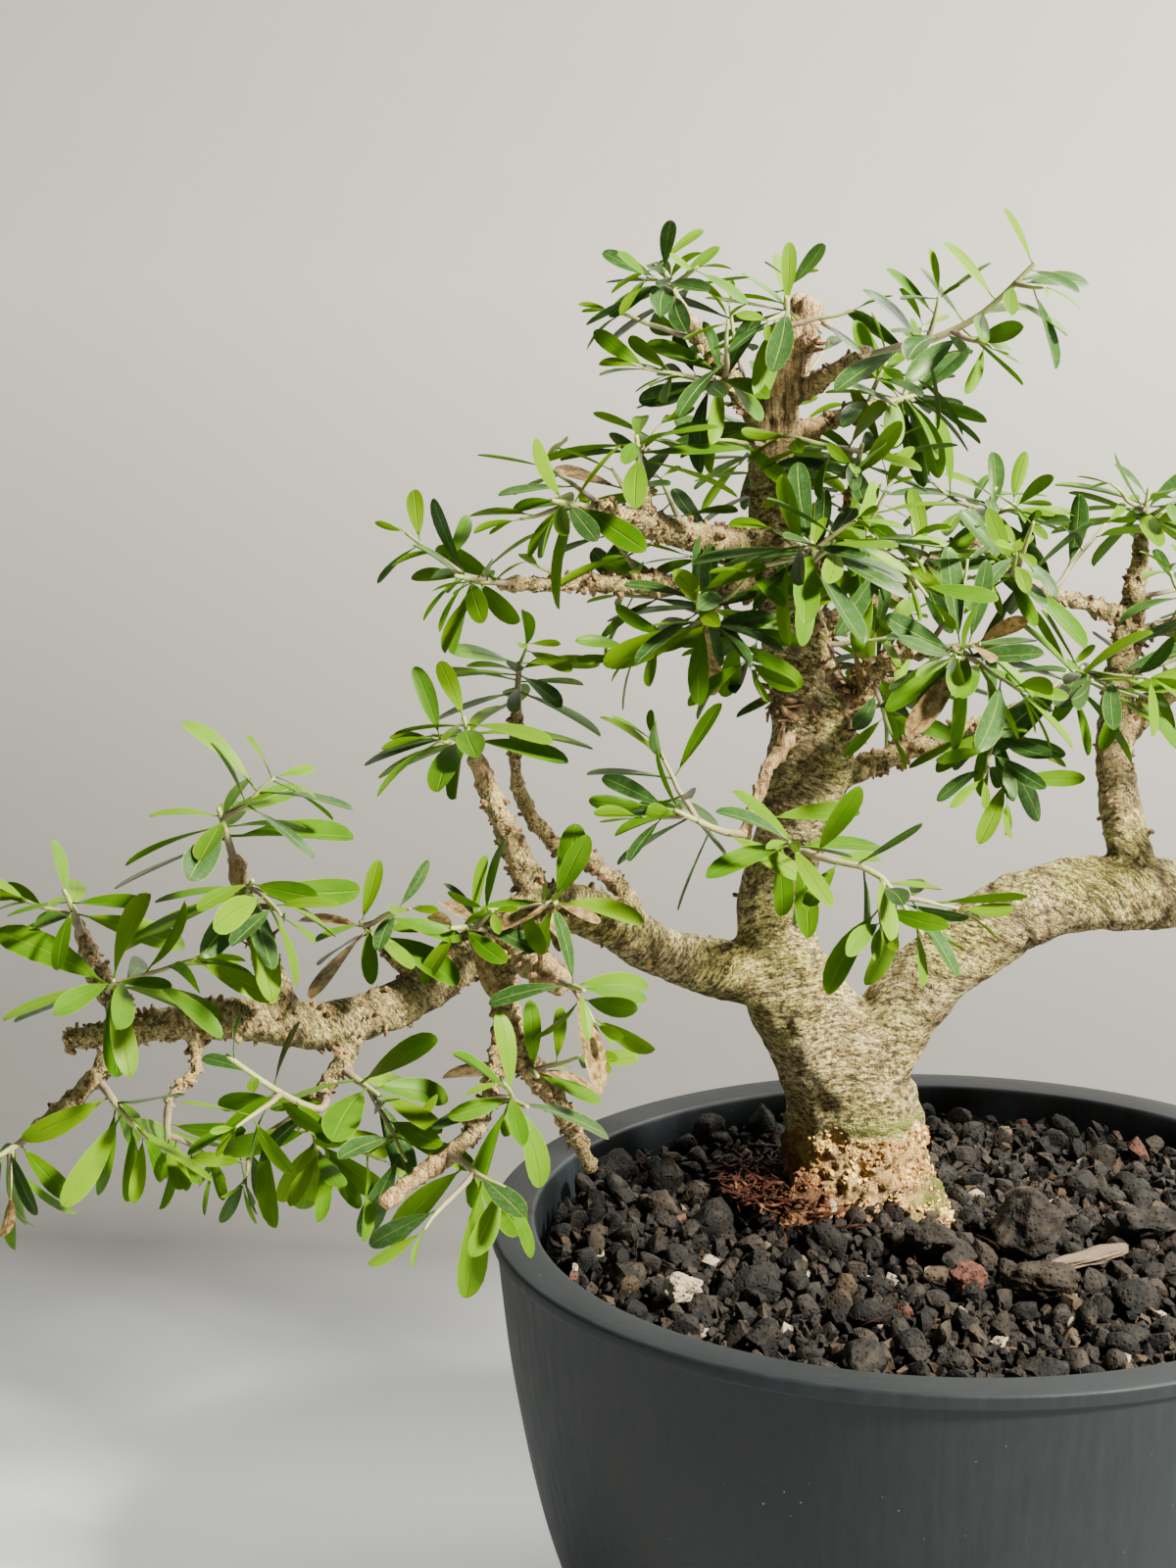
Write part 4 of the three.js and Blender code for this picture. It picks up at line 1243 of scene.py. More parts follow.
def blade_patterns(tree):
    """Masks of a leaf's rib, of the veins that slant off it and of its edge, from its blade's own map."""
    spot = add_node(tree, "ShaderNodeUVMap", uv_map="blade").outputs[0]
    across, reach, _ = axes(tree, spot)
    side = maths(tree, "ABSOLUTE", maths(tree, "SUBTRACT", across, 0.5))
    slant = maths(tree, "SUBTRACT", times(tree, reach, 13.0), times(tree, side, 9.0))
    rib = between(tree, side, 0.015, 0.045, 1.0, 0.0)
    vein = between(tree, maths(tree, "PINGPONG", slant, 0.5), 0.0, 0.07, 0.14, 0.0)
    return rib, vein, between(tree, side, 0.46, 0.5, 0.0, 0.5)


def blade_colour(tree, settings, tone, mottle):
    """From the yellow-green of the youngest leaves to the dark green of old ones."""
    young = mottled(tree, mottle, 0.35, 0.65, settings.young,
                    [c * k for c, k in zip(settings.young, (0.6, 0.78, 0.8))])
    young = stained(tree, between(tree, tone, 0.0, 0.16, 0.55, 0.0), young, (0.19, 0.34, 0.0))
    old = mottled(tree, mottle, 0.35, 0.65, settings.old,
                  [c * k for c, k in zip(settings.old, (1.7, 1.5, 1.5))])
    return mixed(tree, between(tree, tone, 0.35, 0.7, 1.0, 0.0), old, young)


def leaf_material(settings):
    """The tone attribute says how old a leaf is: 0 young, 1 old, and past that dry."""
    material, tree, shader = new_material("Bonsai leaf")
    where, tone = place(tree), attribute(tree, "tone")
    dry = between(tree, tone, 1.15, 1.35)
    mottle = speckle(tree, where, 150.0, 4.0, 0.6)
    rib, vein, edge = blade_patterns(tree)
    # Pale grey-green specks that grow with a leaf's age: partly dust, partly a painted sheen on the older
    # leaves.
    dust = times(tree, between(tree, speckle(tree, where, 1100.0), 0.50, 0.68, 0.0, 0.16), tone)
    brown = mottled(tree, speckle(tree, where, 600.0), 0.4, 0.6, (0.13, 0.075, 0.026), (0.36, 0.255, 0.11))

    base = blade_colour(tree, settings, tone, mottle)
    rib_share = times(tree, rib, between(tree, tone, 0.2, 0.8, 0.22, 0.42))
    base = stained(tree, rib_share, base, (0.28, 0.42, 0.03))
    base = stained(tree, vein, base, (0.25, 0.40, 0.02))
    base = stained(tree, edge, base, (0.32, 0.46, 0.03))
    # The specks of dust and painted sheen go over the leaf here.
    base = stained(tree, dust, base, (0.25, 0.32, 0.22))
    base = mixed(tree, dry, base, brown)

    height = added(tree, times(tree, rib, -1.6), times(tree, vein, -1.4), times(tree, mottle, 1.2))
    normal = bump(tree, height, 0.14 * MM, 0.7)
    surfaced(tree, shader, base, between(tree, tone, 0.2, 0.9, 0.40, 0.31), normal)
    shader.inputs["Specular IOR Level"].default_value = 0.17
    shader.inputs["Specular Tint"].default_value = colour((0.76, 1.0, 0.52))
    glow = mixed(tree, dry, stained(tree, 0.6, base, (0.40, 0.58, 0.0)), base)
    through = add_node(tree, "ShaderNodeBsdfTranslucent", {"Color": glow, "Normal": normal}).outputs[0]
    share = between(tree, tone, 0.3, 0.9, 0.30, 0.12)
    both = add_node(tree, "ShaderNodeMixShader", {0: share, 1: shader.outputs[0], 2: through}).outputs[0]
    tree.links.new(both, tree.nodes["Material Output"].inputs["Surface"])
    return material


class Crowd:
    """The points that leaves already hold, sorted in cells."""

    def __init__(self, cell):
        self.cell, self.cells = cell, {}

    def key(self, spot):
        return tuple(math.floor(c / self.cell) for c in spot)

    def add(self, spots):
        for spot in spots:
            self.cells.setdefault(self.key(spot), []).append(spot)

    def near(self, spot):
        """The points in the spot's own cell and in those round it."""
        x, y, z = self.key(spot)
        for dx, dy, dz in product((-1, 0, 1), repeat=3):
            yield from self.cells.get((x + dx, y + dy, z + dz), ())

    def has_room(self, spots, gap):
        return all((other - spot).length >= gap for spot in spots for other in self.near(spot))


def blade_spots(leaf):
    """Points down the middle of a leaf's blade."""
    return [leaf["base"] + leaf["along"] * leaf["length"] * t
            - leaf["upper"] * LEAF_BEND * leaf["length"] * t * t
            for t in (0.42, 0.6, 0.8, 1.0)]


def settled(leaf, hanging, chance):
    """The leaf as its weight and the light have turned it: drooping, or spread with its face up."""
    along, upper = leaf["along"], leaf["upper"]
    if hanging:
        along = along + Vector((0, 0, -0.3))
        upper = upper + Vector((0, 0, 0.25))
    else:
        along = Vector((along.x, along.y, along.z * 0.6 - 0.1))
        upper = upper.lerp(Vector((0, 0, 1)), 0.55)
    along += random_way(chance, 0.13)
    upper += random_way(chance, 0.26)
    leaf["along"] = along.normalized()
    leaf["upper"] = (upper - leaf["along"] * upper.dot(leaf["along"])).normalized()
    return leaf


def tone_at(share, odds_old, chance):
    """How old a leaf is, from 0 young to 1 old, by its place on its twig, or DRY."""
    if chance.random() < 0.015:
        return DRY
    if chance.random() < odds_old * (1 - 0.75 * share):
        return min(max(chance.gauss(0.85, 0.1), 0.6), 1.0)
    return min(max(chance.gauss(0.2 - 0.15 * share, 0.12), 0.0), 0.45)


def length_of(line):
    return sum((b - a).length for a, b in zip(line, line[1:]))


def leaves_on(line, size, hanging, odds_old, chance):
    """Pairs of leaves down a twig, each pair crossing the last, and two small ones at its end."""
    made = []
    length = length_of(line)
    turn, reach = chance.uniform(0, 2 * math.pi), chance.uniform(1.5, 3.5) * MM
    while reach < length:
        share = reach / length
        spot, axis = point_on(line, reach)
        turn += math.radians(chance.gauss(90, 20))
        for side in (0, math.pi):
            if chance.random() < 0.14:
                continue
            spread = math.radians(chance.gauss(82 - 34 * share, 11))
            made.append(leaf_at(spot, axis, turn + side + chance.gauss(0, 0.2), spread,
                                size * chance.uniform(0.72, 1.12) * (1 - 0.25 * share**3)))
            made[-1]["tone"] = tone_at(share, odds_old, chance)
        reach += chance.uniform(3.4, 6.0) * MM
    for side in (0, math.pi):
        leaf = leaf_at(line[-1], (line[-1] - line[-2]).normalized(), turn + 1.5 + side,
                       math.radians(chance.uniform(14, 34)), size * chance.uniform(0.35, 0.6))
        leaf["tone"] = chance.uniform(0.0, 0.08)
        made.append(leaf)
    return [settled(leaf, hanging, chance) for leaf in made]


def point_on(line, reach):
    """The point that far down a line, and the way that the line runs there."""
    for a, b in zip(line, line[1:]):
        step = (b - a).length
        if reach <= step:
            return a.lerp(b, reach / step), (b - a).normalized()
        reach -= step
    return line[-1], (line[-1] - line[-2]).normalized()


def leaf_at(spot, axis, turn, spread, length):
    """A leaf on a twig that runs along axis, turned round it and leaning off it by spread."""
    aside = axis.orthogonal().normalized()
    aside.rotate(Matrix.Rotation(turn, 3, axis))
    along = axis * math.cos(spread) + aside * math.sin(spread)
    upper = axis * math.sin(spread) - aside * math.cos(spread)
    return {"base": spot + along * 0.3 * MM, "along": along, "upper": upper, "length": length}


def twig_line(start, heading, length, chance, lift=0.03):
    """A short twig's line, bending a little as it goes."""
    line = [start]
    steps = max(round(length / (4 * MM)), 2)
    for _ in range(steps):
        wander = Vector((chance.gauss(0, 0.12), chance.gauss(0, 0.12), chance.gauss(lift, 0.1)))
        heading = (heading + wander).normalized()
        line.append(line[-1] + heading * length / steps)
    return line


def in_bounds(leaf):
    """Whether the leaf's tip is within the plain tree's box, and right of the view's left edge."""
    tip = leaf["base"] + leaf["along"] * leaf["length"]
    if tip.x + 0.31 * (tip.y + 55 * MM) < CAD_BOX[0][0] + 4 * MM:
        return False
    return all(low - PAST_BOX < c < high + PAST_BOX for c, low, high in zip(tip, *CAD_BOX))


def hides_wood(spot):
    """Whether a leaf there would stand in front of the dead and cut wood that shows from the front."""
    for bare in BARE_WOOD:
        away = spot - Vector(bare) * MM
        reach = away.dot(FRONT)
        if -1 * MM < reach < 70 * MM and (away - FRONT * reach).length < 4.6 * MM:
            return True
    return False


def clear_leaves(leaves, crowd, skin, gap):
    """Those of the leaves that have room, which then take their place."""
    kept = []
    for leaf in leaves:
        for _ in range(3):
            if not in_bounds(leaf):
                leaf["length"] *= 0.88
        spots = blade_spots(leaf)
        if not in_bounds(leaf) or any(map(hides_wood, spots)) or not crowd.has_room(spots, gap):
            continue
        off_wood = min(skin.find_nearest(spot)[3] for spot in spots)
        if off_wood < 1.3 * MM or spots[-1].z < SOIL_HIGH.z + 6 * MM:
            continue
        crowd.add(spots)
        kept.append(leaf)
    return kept


def side_twigs(plant, count, crowd, skin, chance):
    """More leafy twigs off a shoot's own stem."""
    line = plant["lines"][0]
    length = length_of(line)
    for _ in range(count):
        spot, axis = point_on(line, length * chance.uniform(0.25, 0.9))
        heading = axis.orthogonal().normalized()
        heading.rotate(Matrix.Rotation(chance.uniform(0, 2 * math.pi), 3, axis))
        heading = heading + axis * 0.6
        heading.z = heading.z * 0.5 - (0.2 if plant["hanging"] else 0.0)
        heading.normalize()
        reach = chance.uniform(9, 20) * MM
        if skin.find_nearest(spot + heading * reach)[3] < 4 * MM:
            continue
        twig = twig_line(spot, heading, reach, chance)
        leaves = clear_leaves(leaves_on(twig, plant["size"], plant["hanging"], plant["odds_old"], chance),
                              crowd, skin, plant["gap"])
        if len(leaves) > 2:
            plant["lines"].append(twig)
            plant["leaves"] += leaves


def new_plant(name, node, skin, chance):
    """A shoot's stem and leaves as the frame has them, each leaf turned a little as a live one is."""
    leaves = leaves_in_frame(node)
    if len(leaves) < 3:
        raise RuntimeError(f"{node} shows only {len(leaves)} leaves")
    line = stem_points(leaves, skin)
    base = leaves[0]["base"]
    lean = sum(leaf["along"].z for leaf in leaves) / len(leaves)
    if lean < -0.6:
        leaves = sorted(leaves, key=lambda leaf: -leaf["length"])[:3]
    hanging = lean < -0.22
    on_left = base.x < LEFT_LIMBS
    odds_old = 0.3 if on_left else 0.72
    size = sum(leaf["length"] for leaf in leaves) / len(leaves)
    grow = min(1.15 if hanging else 1.28 if on_left else 1.38, 23 * MM / size)
    whole = max((line[-1] - line[0]).length, MM)
    for leaf in leaves:
        leaf["tone"] = tone_at(min((leaf["base"] - line[0]).length / whole, 1.0), odds_old, chance)
        leaf["length"] *= grow * chance.uniform(0.85, 1.1)
        settled(leaf, hanging, chance)
    chance.shuffle(leaves)
    return {"name": name, "node": node, "lines": [line], "leaves": leaves, "hanging": hanging,
            "odds_old": odds_old, "size": size * grow, "gap": 2.0 * MM, "on_left": on_left}


def sprouts(crowd, skin, wood, chance, wanted):
    """Leafy twigs straight off the trunk and limbs of the crown, where the tree is densest."""
    plant = {"name": "crown_sprouts", "node": None, "lines": [], "leaves": [], "on_left": False}
    middles = ((face, face.calc_center_median()) for face in wood.faces)
    faces = [face for face, middle in middles
             if CROWN_LOW.z < middle.z < CROWN_HIGH.z and CROWN_LOW.x < middle.x < CROWN_HIGH.x]
    feet = []
    for _ in range(wanted * 12):
        if len(plant["lines"]) >= wanted:
            break
        face = chance.choice(faces)
        spot = face.calc_center_median()
        on_stump = spot.z > 280 * MM and spot.y < TRUNK_AXIS[1] and abs(spot.x - TRUNK_AXIS[0]) < 9 * MM
        if on_stump or any((spot - foot).length < 7 * MM for foot in feet):
            continue
        outward = Vector((spot.x - TRUNK_AXIS[0], spot.y - TRUNK_AXIS[1], 0)) / (40 * MM)
        heading = (face.normal + outward + Vector((0, 0, 0.25)) + random_way(chance, 0.35)).normalized()
        if heading.dot(face.normal) < 0.2:
            continue
        twig = twig_line(spot - face.normal * 0.6 * MM, heading, chance.uniform(9, 22) * MM, chance)
        if any(skin.find_nearest(p)[3] < 1.5 * MM for p in twig[2:]):
            continue
        leaves = clear_leaves(leaves_on(twig, chance.uniform(17, 23) * MM, False, 0.7, chance),
                              crowd, skin, 2.0 * MM)
        if len(leaves) > 2:
            feet.append(spot)
            plant["lines"].append(twig)
            plant["leaves"] += leaves
    return plant


def stem_material():
    material, tree, shader = new_material("Young stem")
    mottle = speckle(tree, place(tree), 900.0, 4.0, 0.6)
    fresh = mixed(tree, mottle, colour((0.20, 0.26, 0.05)), colour((0.42, 0.44, 0.15)))
    woody = mixed(tree, mottle, colour((0.11, 0.07, 0.04)), colour((0.36, 0.28, 0.18)))
    base = mixed(tree, between(tree, attribute(tree, "reach"), 0.25, 0.7), woody, fresh)
    surfaced(tree, shader, base, between(tree, mottle, 0.3, 0.7, 0.5, 0.8), bump(tree, mottle, 0.2 * MM))
    return material


def leaf_mesh(name, width, bend, fold, twist, sway):
    """A leaf of unit length along Y, face up: a thin stalk, and a blade widest near its round end."""
    vertices, faces, spots = [(0, -0.02, 0)], [], [(0.5, 0.0)]
    for reach, share_of_width in LEAF_OUTLINE:
        half = share_of_width * width / 2
        middle = Vector((sway * math.sin(math.pi * reach), reach, -bend * reach * reach))
        thick = 0.012 if reach < 0.15 else 0.009
        for share, top in ((-1, 0.0), (0, 1), (1, 0.0), (0, -1)):
            offset = Vector((share * half, 0, fold * half * abs(share) + top * thick))
            offset.rotate(Euler((0, twist * reach, 0)))
            vertices.append(middle + offset)
            spots.append((0.5 + 0.5 * share, reach))
    vertices.append(Vector((0, 1.0, -bend)))
    spots.append((0.5, 1.0))
    rows = [[1 + row * 4 + k for k in range(4)] for row in range(len(LEAF_OUTLINE))]
    for k in range(4):
        faces.append((0, rows[0][(k + 1) % 4], rows[0][k]))
        faces.append((rows[-1][k], rows[-1][(k + 1) % 4], len(vertices) - 1))
    for a, b in zip(rows, rows[1:]):
        faces += [(a[k], a[(k + 1) % 4], b[(k + 1) % 4], b[k]) for k in range(4)]
    mesh = mesh_from(name, vertices, faces)
    made = bmesh.new()
    made.from_mesh(mesh)
    bmesh.ops.recalc_face_normals(made, faces=made.faces)
    layer = made.loops.layers.uv.new("blade")
    for face in made.faces:
        for loop in face.loops:
            loop[layer].uv = spots[loop.vert.index]
    made.to_mesh(mesh)
    made.free()
    mesh.shade_smooth()
    return mesh


def leaves_in_frame(node):
    """The plain leaves of a shoot's solid: base, direction, upper side and length of each."""
    made = merged_copy(node)
    found = []
    lean = math.hypot(1 - LEAF_WIDEST, LEAF_BEND * (1 - LEAF_WIDEST**2))
    for tip in made.verts:
        if len(tip.link_edges) != 4:
            continue
        ring = [edge.other_vert(tip).co for edge in tip.link_edges]
        gaps = sorted(((ring[i] - ring[j]).length, i, j) for i in range(4) for j in range(i))
        thin, i, j = gaps[0]
        wide = [ring[k] for k in range(4) if k not in (i, j)]
        span = wide[0] - wide[1]
        off = ((ring[i] + ring[j]) - (wide[0] + wide[1])).length / 2
        if not 0.5 * MM < thin < 0.9 * MM or span.length < 2.2 * MM or off > 0.15 * MM:
            continue
        upper = (ring[i] - ring[j]).normalized()
        reach = tip.co - (wide[0] + wide[1]) / 2
        if reach.dot(upper) > 0:
            upper = -upper
        length = reach.length / lean
        along = (reach + LEAF_BEND * (1 - LEAF_WIDEST**2) * length * upper).normalized()
        base = tip.co - length * along + LEAF_BEND * length * upper
        found.append({"base": base.copy(), "along": along, "upper": upper, "length": length})
    made.free()
    return found


def stem_points(leaves, wood):
    """The line of a shoot's stem, from inside the wood through the bases of its leaves."""
    spots = [leaf["base"] for leaf in leaves]
    first = min(spots, key=lambda spot: wood.find_nearest(spot)[3])
    root, facing, _, _ = wood.find_nearest(first)
    spots.sort(key=lambda spot: (spot - root).length)
    line = [root - facing * 0.8 * MM, root + facing * 0.6 * MM]
    for spot in spots:
        if (spot - line[-1]).length > 1.6 * MM:
            line.append(spot)
    heading = (line[-1] - line[-2]).normalized()
    line.append(line[-1] + heading * 2.2 * MM)
    return line


def shoot_tree():
    """Puts a leaf on each point marked as a leaf, and a tapered tube along the edges."""
    tree, given = new_geometry_tree("Leafy shoot", [
        ("Leaves", "Collection", None), ("Stem sides", "Int", 7), ("Leaf material", "Material", None),
        ("Stem material", "Material", None)])
    is_leaf = named(tree, "is_leaf", "BOOLEAN")
    split = add_node(tree, "GeometryNodeSeparateGeometry",
                     {"Geometry": given["Geometry"], "Selection": is_leaf})
    kinds = shapes_in(tree, given["Leaves"])
    facing = named(tree, "facing", "FLOAT_VECTOR")
    spun = add_node(tree, "FunctionNodeEulerToRotation", {0: facing}).outputs[0]
    leaves = add_node(tree, "GeometryNodeInstanceOnPoints", {
        "Points": split.outputs["Selection"], "Instance": kinds, "Pick Instance": True,
        "Instance Index": named(tree, "kind", "INT"), "Rotation": spun,
        "Scale": named(tree, "size")}).outputs[0]
    leaves = made_real(tree, leaves, given["Leaf material"])
    curve = add_node(tree, "GeometryNodeMeshToCurve", {"Mesh": split.outputs["Inverted"]}).outputs[0]
    section = add_node(tree, "GeometryNodeCurvePrimitiveCircle",
                       {"Resolution": given["Stem sides"], "Radius": 1.0}).outputs[0]
    stem = add_node(tree, "GeometryNodeCurveToMesh", {
        "Curve": curve, "Profile Curve": section, "Scale": named(tree, "size"), "Fill Caps": True}).outputs[0]
    stem = add_node(tree, "GeometryNodeSetMaterial",
                    {"Geometry": stem, "Material": given["Stem material"]}).outputs[0]
    both = add_node(tree, "GeometryNodeJoinGeometry").inputs[0]
    tree.links.new(stem, both)
    tree.links.new(leaves, both)
    solid = add_node(tree, "GeometryNodeRealizeInstances", {"Geometry": both.node.outputs[0]}).outputs[0]
    add_node(tree, "NodeGroupOutput", {"Geometry": solid})
    return tree


def shoot_points(plant, chance, kinds):
    """The points and edges that the shoot's tree reads, with what it needs to know at each."""
    vertices, edges = [], []
    facing, size, tone, kind, reach = [], [], [], [], []
    for order, line in enumerate(plant["lines"]):
        smooth = smooth_path(line, 3)
        start = len(vertices)
        edges += [(start + i, start + i + 1) for i in range(len(smooth) - 1)]
        vertices += smooth
        thick = 1.05 if order == 0 and plant["node"] else 0.72
        for i in range(len(smooth)):
            share = i / (len(smooth) - 1)
            facing.append((0.0, 0.0, 0.0))
            size.append((thick - 0.55 * thick * share) * MM)
            tone.append(0.5)
            kind.append(0)
            reach.append(share)
    stem_count = len(vertices)
    for leaf in plant["leaves"]:
        aside = leaf["along"].cross(leaf["upper"])
        frame_of_leaf = Matrix((aside, leaf["along"], leaf["upper"])).transposed()
        vertices.append(leaf["base"])
        facing.append(tuple(frame_of_leaf.to_euler()))
        size.append(leaf["length"])
        tone.append(leaf["tone"])
        kind.append(chance.randrange(kinds // 2) + (kinds // 2 if plant["on_left"] else 0))
        reach.append(1.0)
    mesh = bpy.data.meshes.new(plant["name"])
    mesh.from_pydata([tuple(v) for v in vertices], edges, [])
    columns = [("facing", "FLOAT_VECTOR", "vector", [c for row in facing for c in row]),
               ("size", "FLOAT", "value", size), ("tone", "FLOAT", "value", tone),
               ("kind", "INT", "value", kind), ("reach", "FLOAT", "value", reach),
               ("is_leaf", "BOOLEAN", "value", [i >= stem_count for i in range(len(vertices))])]
    for title, data_type, field, values in columns:
        mesh.attributes.new(title, data_type, "POINT").data.foreach_set(field, values)
    return mesh


def leaf_kinds(settings, count):
    """The collection of leaf shapes; the second half are wider, for the left limbs."""
    shapes = []
    for i in range(count):
        chance = random.Random(90 + i)
        width = settings.width * chance.uniform(0.8, 1.0) * (1.0 if i < count // 2 else 1.14)
        bend, fold = chance.uniform(0.02, 0.22), chance.uniform(0.05, 0.5)
        twist, sway = chance.uniform(-0.5, 0.5), chance.uniform(-0.05, 0.05)
        shapes.append((f"leaf_kind_{i:02}", leaf_mesh(f"leaf_{i}", width, bend, fold, twist, sway)))
    return collected("leaf kinds", shapes)


def grown_plants(settings):
    """Every shoot of the frame and the crown's sprouts, with the leaves that have room."""
    wood = merged_copy("trunk_and_branches")
    skin = BVHTree.FromBMesh(wood)
    crowd = Crowd(4 * MM)
    plants = []
    for order, node in enumerate(SHOOT_NODES):
        plant = new_plant("leafy_" + node, node, skin, random.Random(1000 + order))
        gap = 2.2 * MM if plant["on_left"] else 1.6 * MM
        plant["leaves"] = clear_leaves(plant["leaves"], crowd, skin, gap)
        for leaf in plant["leaves"][::3]:
            if (leaf["base"] - Vector(WITHERED) * MM).length < 30 * MM:
                leaf["tone"] = DRY
        plants.append(plant)
    for order, plant in enumerate(plants):
        chance = random.Random(2000 + order)
        side_twigs(plant, settings.more - (2 if plant["on_left"] else 0), crowd, skin, chance)
    plants.append(sprouts(crowd, skin, wood, random.Random(77), settings.sprouts))
    wood.free()
    return plants


def build_shoots(settings):
    count = 14
    kinds = leaf_kinds(settings, count)
    tree = shoot_tree()
    leaf_look, stem_look = leaf_material(settings), stem_material()
    for order, plant in enumerate(grown_plants(settings)):
        chance = random.Random(3000 + order)
        piece = new_piece(plant["name"], shoot_points(plant, chance, count))
        run_tree(piece, tree, {"Leaves": kinds, "Leaf material": leaf_look, "Stem material": stem_look})
        piece.data.shade_smooth()
        piece.data.set_sharp_from_angle(angle=math.radians(110))
        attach(piece, BODY)
        if plant["node"]:
            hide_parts(plant["node"])
    dropped(kinds)


# ------------------------------------------------------------------ stage


def backdrop_material(settings):
    material, tree, shader = new_material("Paper backdrop")
    where = place(tree)
    x, y, z = axes(tree, where)
    paper = speckle(tree, where, 45.0, 5.0, 0.6)
    up = between(tree, added(tree, z, times(tree, y, 0.2)), 0.03, 0.42, 0.0, 0.8)
    lit = added(tree, up, between(tree, x, -0.4, 0.5, 0.0, 0.2))
    base = mixed(tree, lit, colour(settings.shaded), colour(settings.lit))
    base = stained(tree, between(tree, y, 0.08, 0.25, 1.0, 0.0), base, (0.50, 0.52, 0.53))
    base = stained(tree, between(tree, paper, 0.3, 0.7, 0.0, 0.06), base, (0.25, 0.24, 0.23))
    tree.links.new(base, shader.inputs["Base Color"])
    shader.inputs["Roughness"].default_value = 0.95
    shader.inputs["Specular IOR Level"].default_value = 0.1
    behind = add_node(tree, "ShaderNodeNewGeometry").outputs["Backfacing"]
    clear = add_node(tree, "ShaderNodeBsdfTransparent").outputs[0]
    both = add_node(tree, "ShaderNodeMixShader", {0: behind, 1: shader.outputs[0], 2: clear}).outputs[0]
    tree.links.new(both, tree.nodes["Material Output"].inputs["Surface"])
    return material


def build_backdrop(settings):
    front, bend_start, radius, top, half = -3.5, 0.45, 0.5, 3.5, 4.0
    line = [(front, 0.0), (bend_start, 0.0)]
    line += [(bend_start + radius * math.sin(a), radius - radius * math.cos(a))
             for a in (math.pi / 2 * i / 16 for i in range(1, 17))]
    line.append((bend_start + radius, top))
    vertices = [(x, y, z) for y, z in line for x in (-half, half)]
    faces = [(2 * i, 2 * i + 1, 2 * i + 3, 2 * i + 2) for i in range(len(line) - 1)]
    sweep = new_piece("backdrop", mesh_from("backdrop", vertices, faces), backdrop_material(settings))
    sweep.data.shade_smooth()


def add_lamp(name, power, size, spot, aim, tint):
    light = bpy.data.lights.new(name, "AREA")
    light.energy, light.size, light.color = power, size, tint
    lamp = bpy.data.objects.new(name, light)
    bpy.context.scene.collection.objects.link(lamp)
    lamp.location = spot
    lamp.rotation_euler = (Vector(aim) - Vector(spot)).to_track_quat("-Z", "Y").to_euler()


def build_lights(settings):
    middle = (-0.03, 0.0, 0.2)
    add_lamp("key", settings.key_power, 0.16, (0.80, -0.43, 0.98), middle, (1.0, 0.94, 0.81))
    add_lamp("back", settings.back_power, 0.4, (0.45, 0.70, 0.95), middle, (1.0, 0.98, 0.92))
    add_lamp("fill", settings.fill_power, 1.2, (-1.1, -0.9, 0.8), middle, (0.90, 0.95, 1.0))
    add_lamp("wall", settings.wall_power, 1.2, (1.3, 0.9, 2.2), (0.3, 2.4, 0.3), (1.0, 0.985, 0.96))
    world = bpy.data.worlds.new("room")
    world.use_nodes = True
    shade = world.node_tree.nodes["Background"]
    shade.inputs["Color"].default_value = (0.86, 0.90, 0.95, 1.0)
    shade.inputs["Strength"].default_value = 0.13
    bpy.context.scene.world = world


def build_camera():
    tilt, turn = math.radians(13.2), math.radians(6.35)
    back, above = 7.08 * RIM_RADIUS, 2.63 * RIM_RADIUS
    ahead = Vector((-math.sin(turn) * math.cos(tilt), math.cos(turn) * math.cos(tilt), -math.sin(tilt)))
    lens = bpy.data.cameras.new("camera")
    lens.lens, lens.sensor_width = 77.0, 36.0
    camera = bpy.data.objects.new("camera", lens)
    camera.location = (0.0, -back, POT_HIGH.z + above)
    camera.rotation_euler = ahead.to_track_quat("-Z", "Y").to_euler()
    bpy.context.scene.collection.objects.link(camera)
    bpy.context.scene.camera = camera


# ------------------------------------------------------------------ operators and panel


class BONSAI_OT_stage(bpy.types.Operator):
    """Add the camera, the lamps and the backdrop"""

    bl_idname = "bonsai.stage"
    bl_label = "Stage"

    def execute(self, context):
        build_camera()
        build_lights(context.scene.bonsai_stage)
        build_backdrop(context.scene.bonsai_stage)
        return {"FINISHED"}


class BONSAI_OT_pot(bpy.types.Operator):
    """Turn the bowl and finish its drainage screens"""

    bl_idname = "bonsai.pot"
    bl_label = "Bowl"

    def execute(self, context):
        build_pot(context.scene.bonsai_pot)
        look = screen_material()
        for side in ("left", "right"):
            mesh = frame["nodes"][f"drainage_screen_{side}"]
            for slot in mesh.material_slots:
                slot.material = look
        return {"FINISHED"}


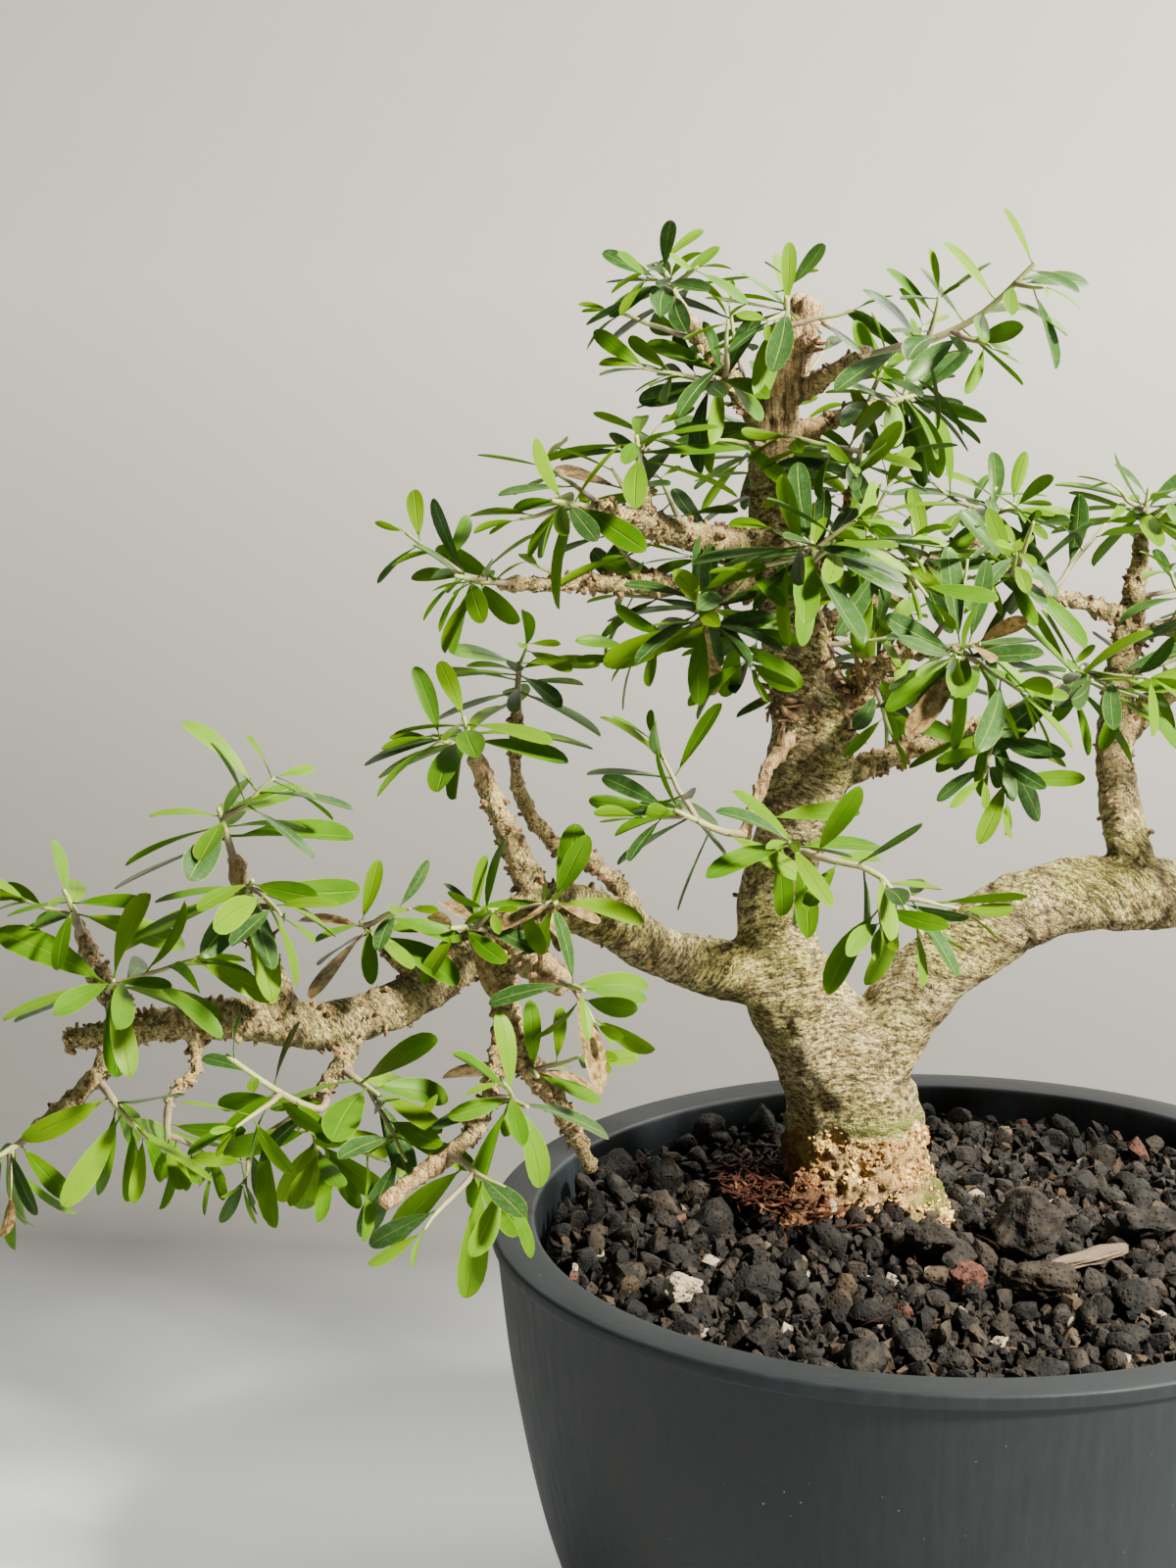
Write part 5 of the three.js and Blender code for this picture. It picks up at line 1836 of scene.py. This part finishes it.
class BONSAI_OT_soil(bpy.types.Operator):
    """Fill the bowl with lava grains, loose stones and a chip of bark"""

    bl_idname = "bonsai.soil"
    bl_label = "Soil"

    def execute(self, context):
        build_soil(context.scene.bonsai_soil)
        build_stones()
        build_chip()
        build_mulch()
        return {"FINISHED"}


class BONSAI_OT_wood(bpy.types.Operator):
    """Give the trunk and its branches their bark"""

    bl_idname = "bonsai.wood"
    bl_label = "Trunk and branches"

    def execute(self, context):
        build_wood(context.scene.bonsai_wood)
        return {"FINISHED"}


class BONSAI_OT_shoots(bpy.types.Operator):
    """Grow the leaves on every shoot"""

    bl_idname = "bonsai.shoots"
    bl_label = "Leafy shoots"

    def execute(self, context):
        build_shoots(context.scene.bonsai_leaf)
        return {"FINISHED"}


SETTINGS = {"bonsai_pot": PotSettings, "bonsai_wood": WoodSettings, "bonsai_leaf": LeafSettings,
            "bonsai_soil": SoilSettings, "bonsai_stage": StageSettings}
OPERATORS = (BONSAI_OT_stage, BONSAI_OT_pot, BONSAI_OT_soil, BONSAI_OT_wood, BONSAI_OT_shoots)


class BONSAI_PT_panel(bpy.types.Panel):
    """Settings and operators of the bonsai"""

    bl_idname = "BONSAI_PT_panel"
    bl_label = "Potted bonsai"
    bl_space_type = "VIEW_3D"
    bl_region_type = "UI"
    bl_category = "Bonsai"

    def draw(self, context):
        for title, group in SETTINGS.items():
            box = self.layout.box()
            for setting in group.__annotations__:
                box.prop(getattr(context.scene, title), setting)
        for operator in OPERATORS:
            self.layout.operator(operator.bl_idname)


CLASSES = (*SETTINGS.values(), *OPERATORS, BONSAI_PT_panel)


def register():
    for made in CLASSES:
        bpy.utils.register_class(made)
    for title, group in SETTINGS.items():
        setattr(bpy.types.Scene, title, bpy.props.PointerProperty(type=group))


def unregister():
    for title in SETTINGS:
        delattr(bpy.types.Scene, title)
    for made in reversed(CLASSES):
        bpy.utils.unregister_class(made)


def main():
    register()
    bpy.ops.bonsai.stage()
    bpy.ops.bonsai.pot()
    bpy.ops.bonsai.soil()
    bpy.ops.bonsai.wood()
    bpy.ops.bonsai.shoots()


if __name__ == "__main__":
    main()
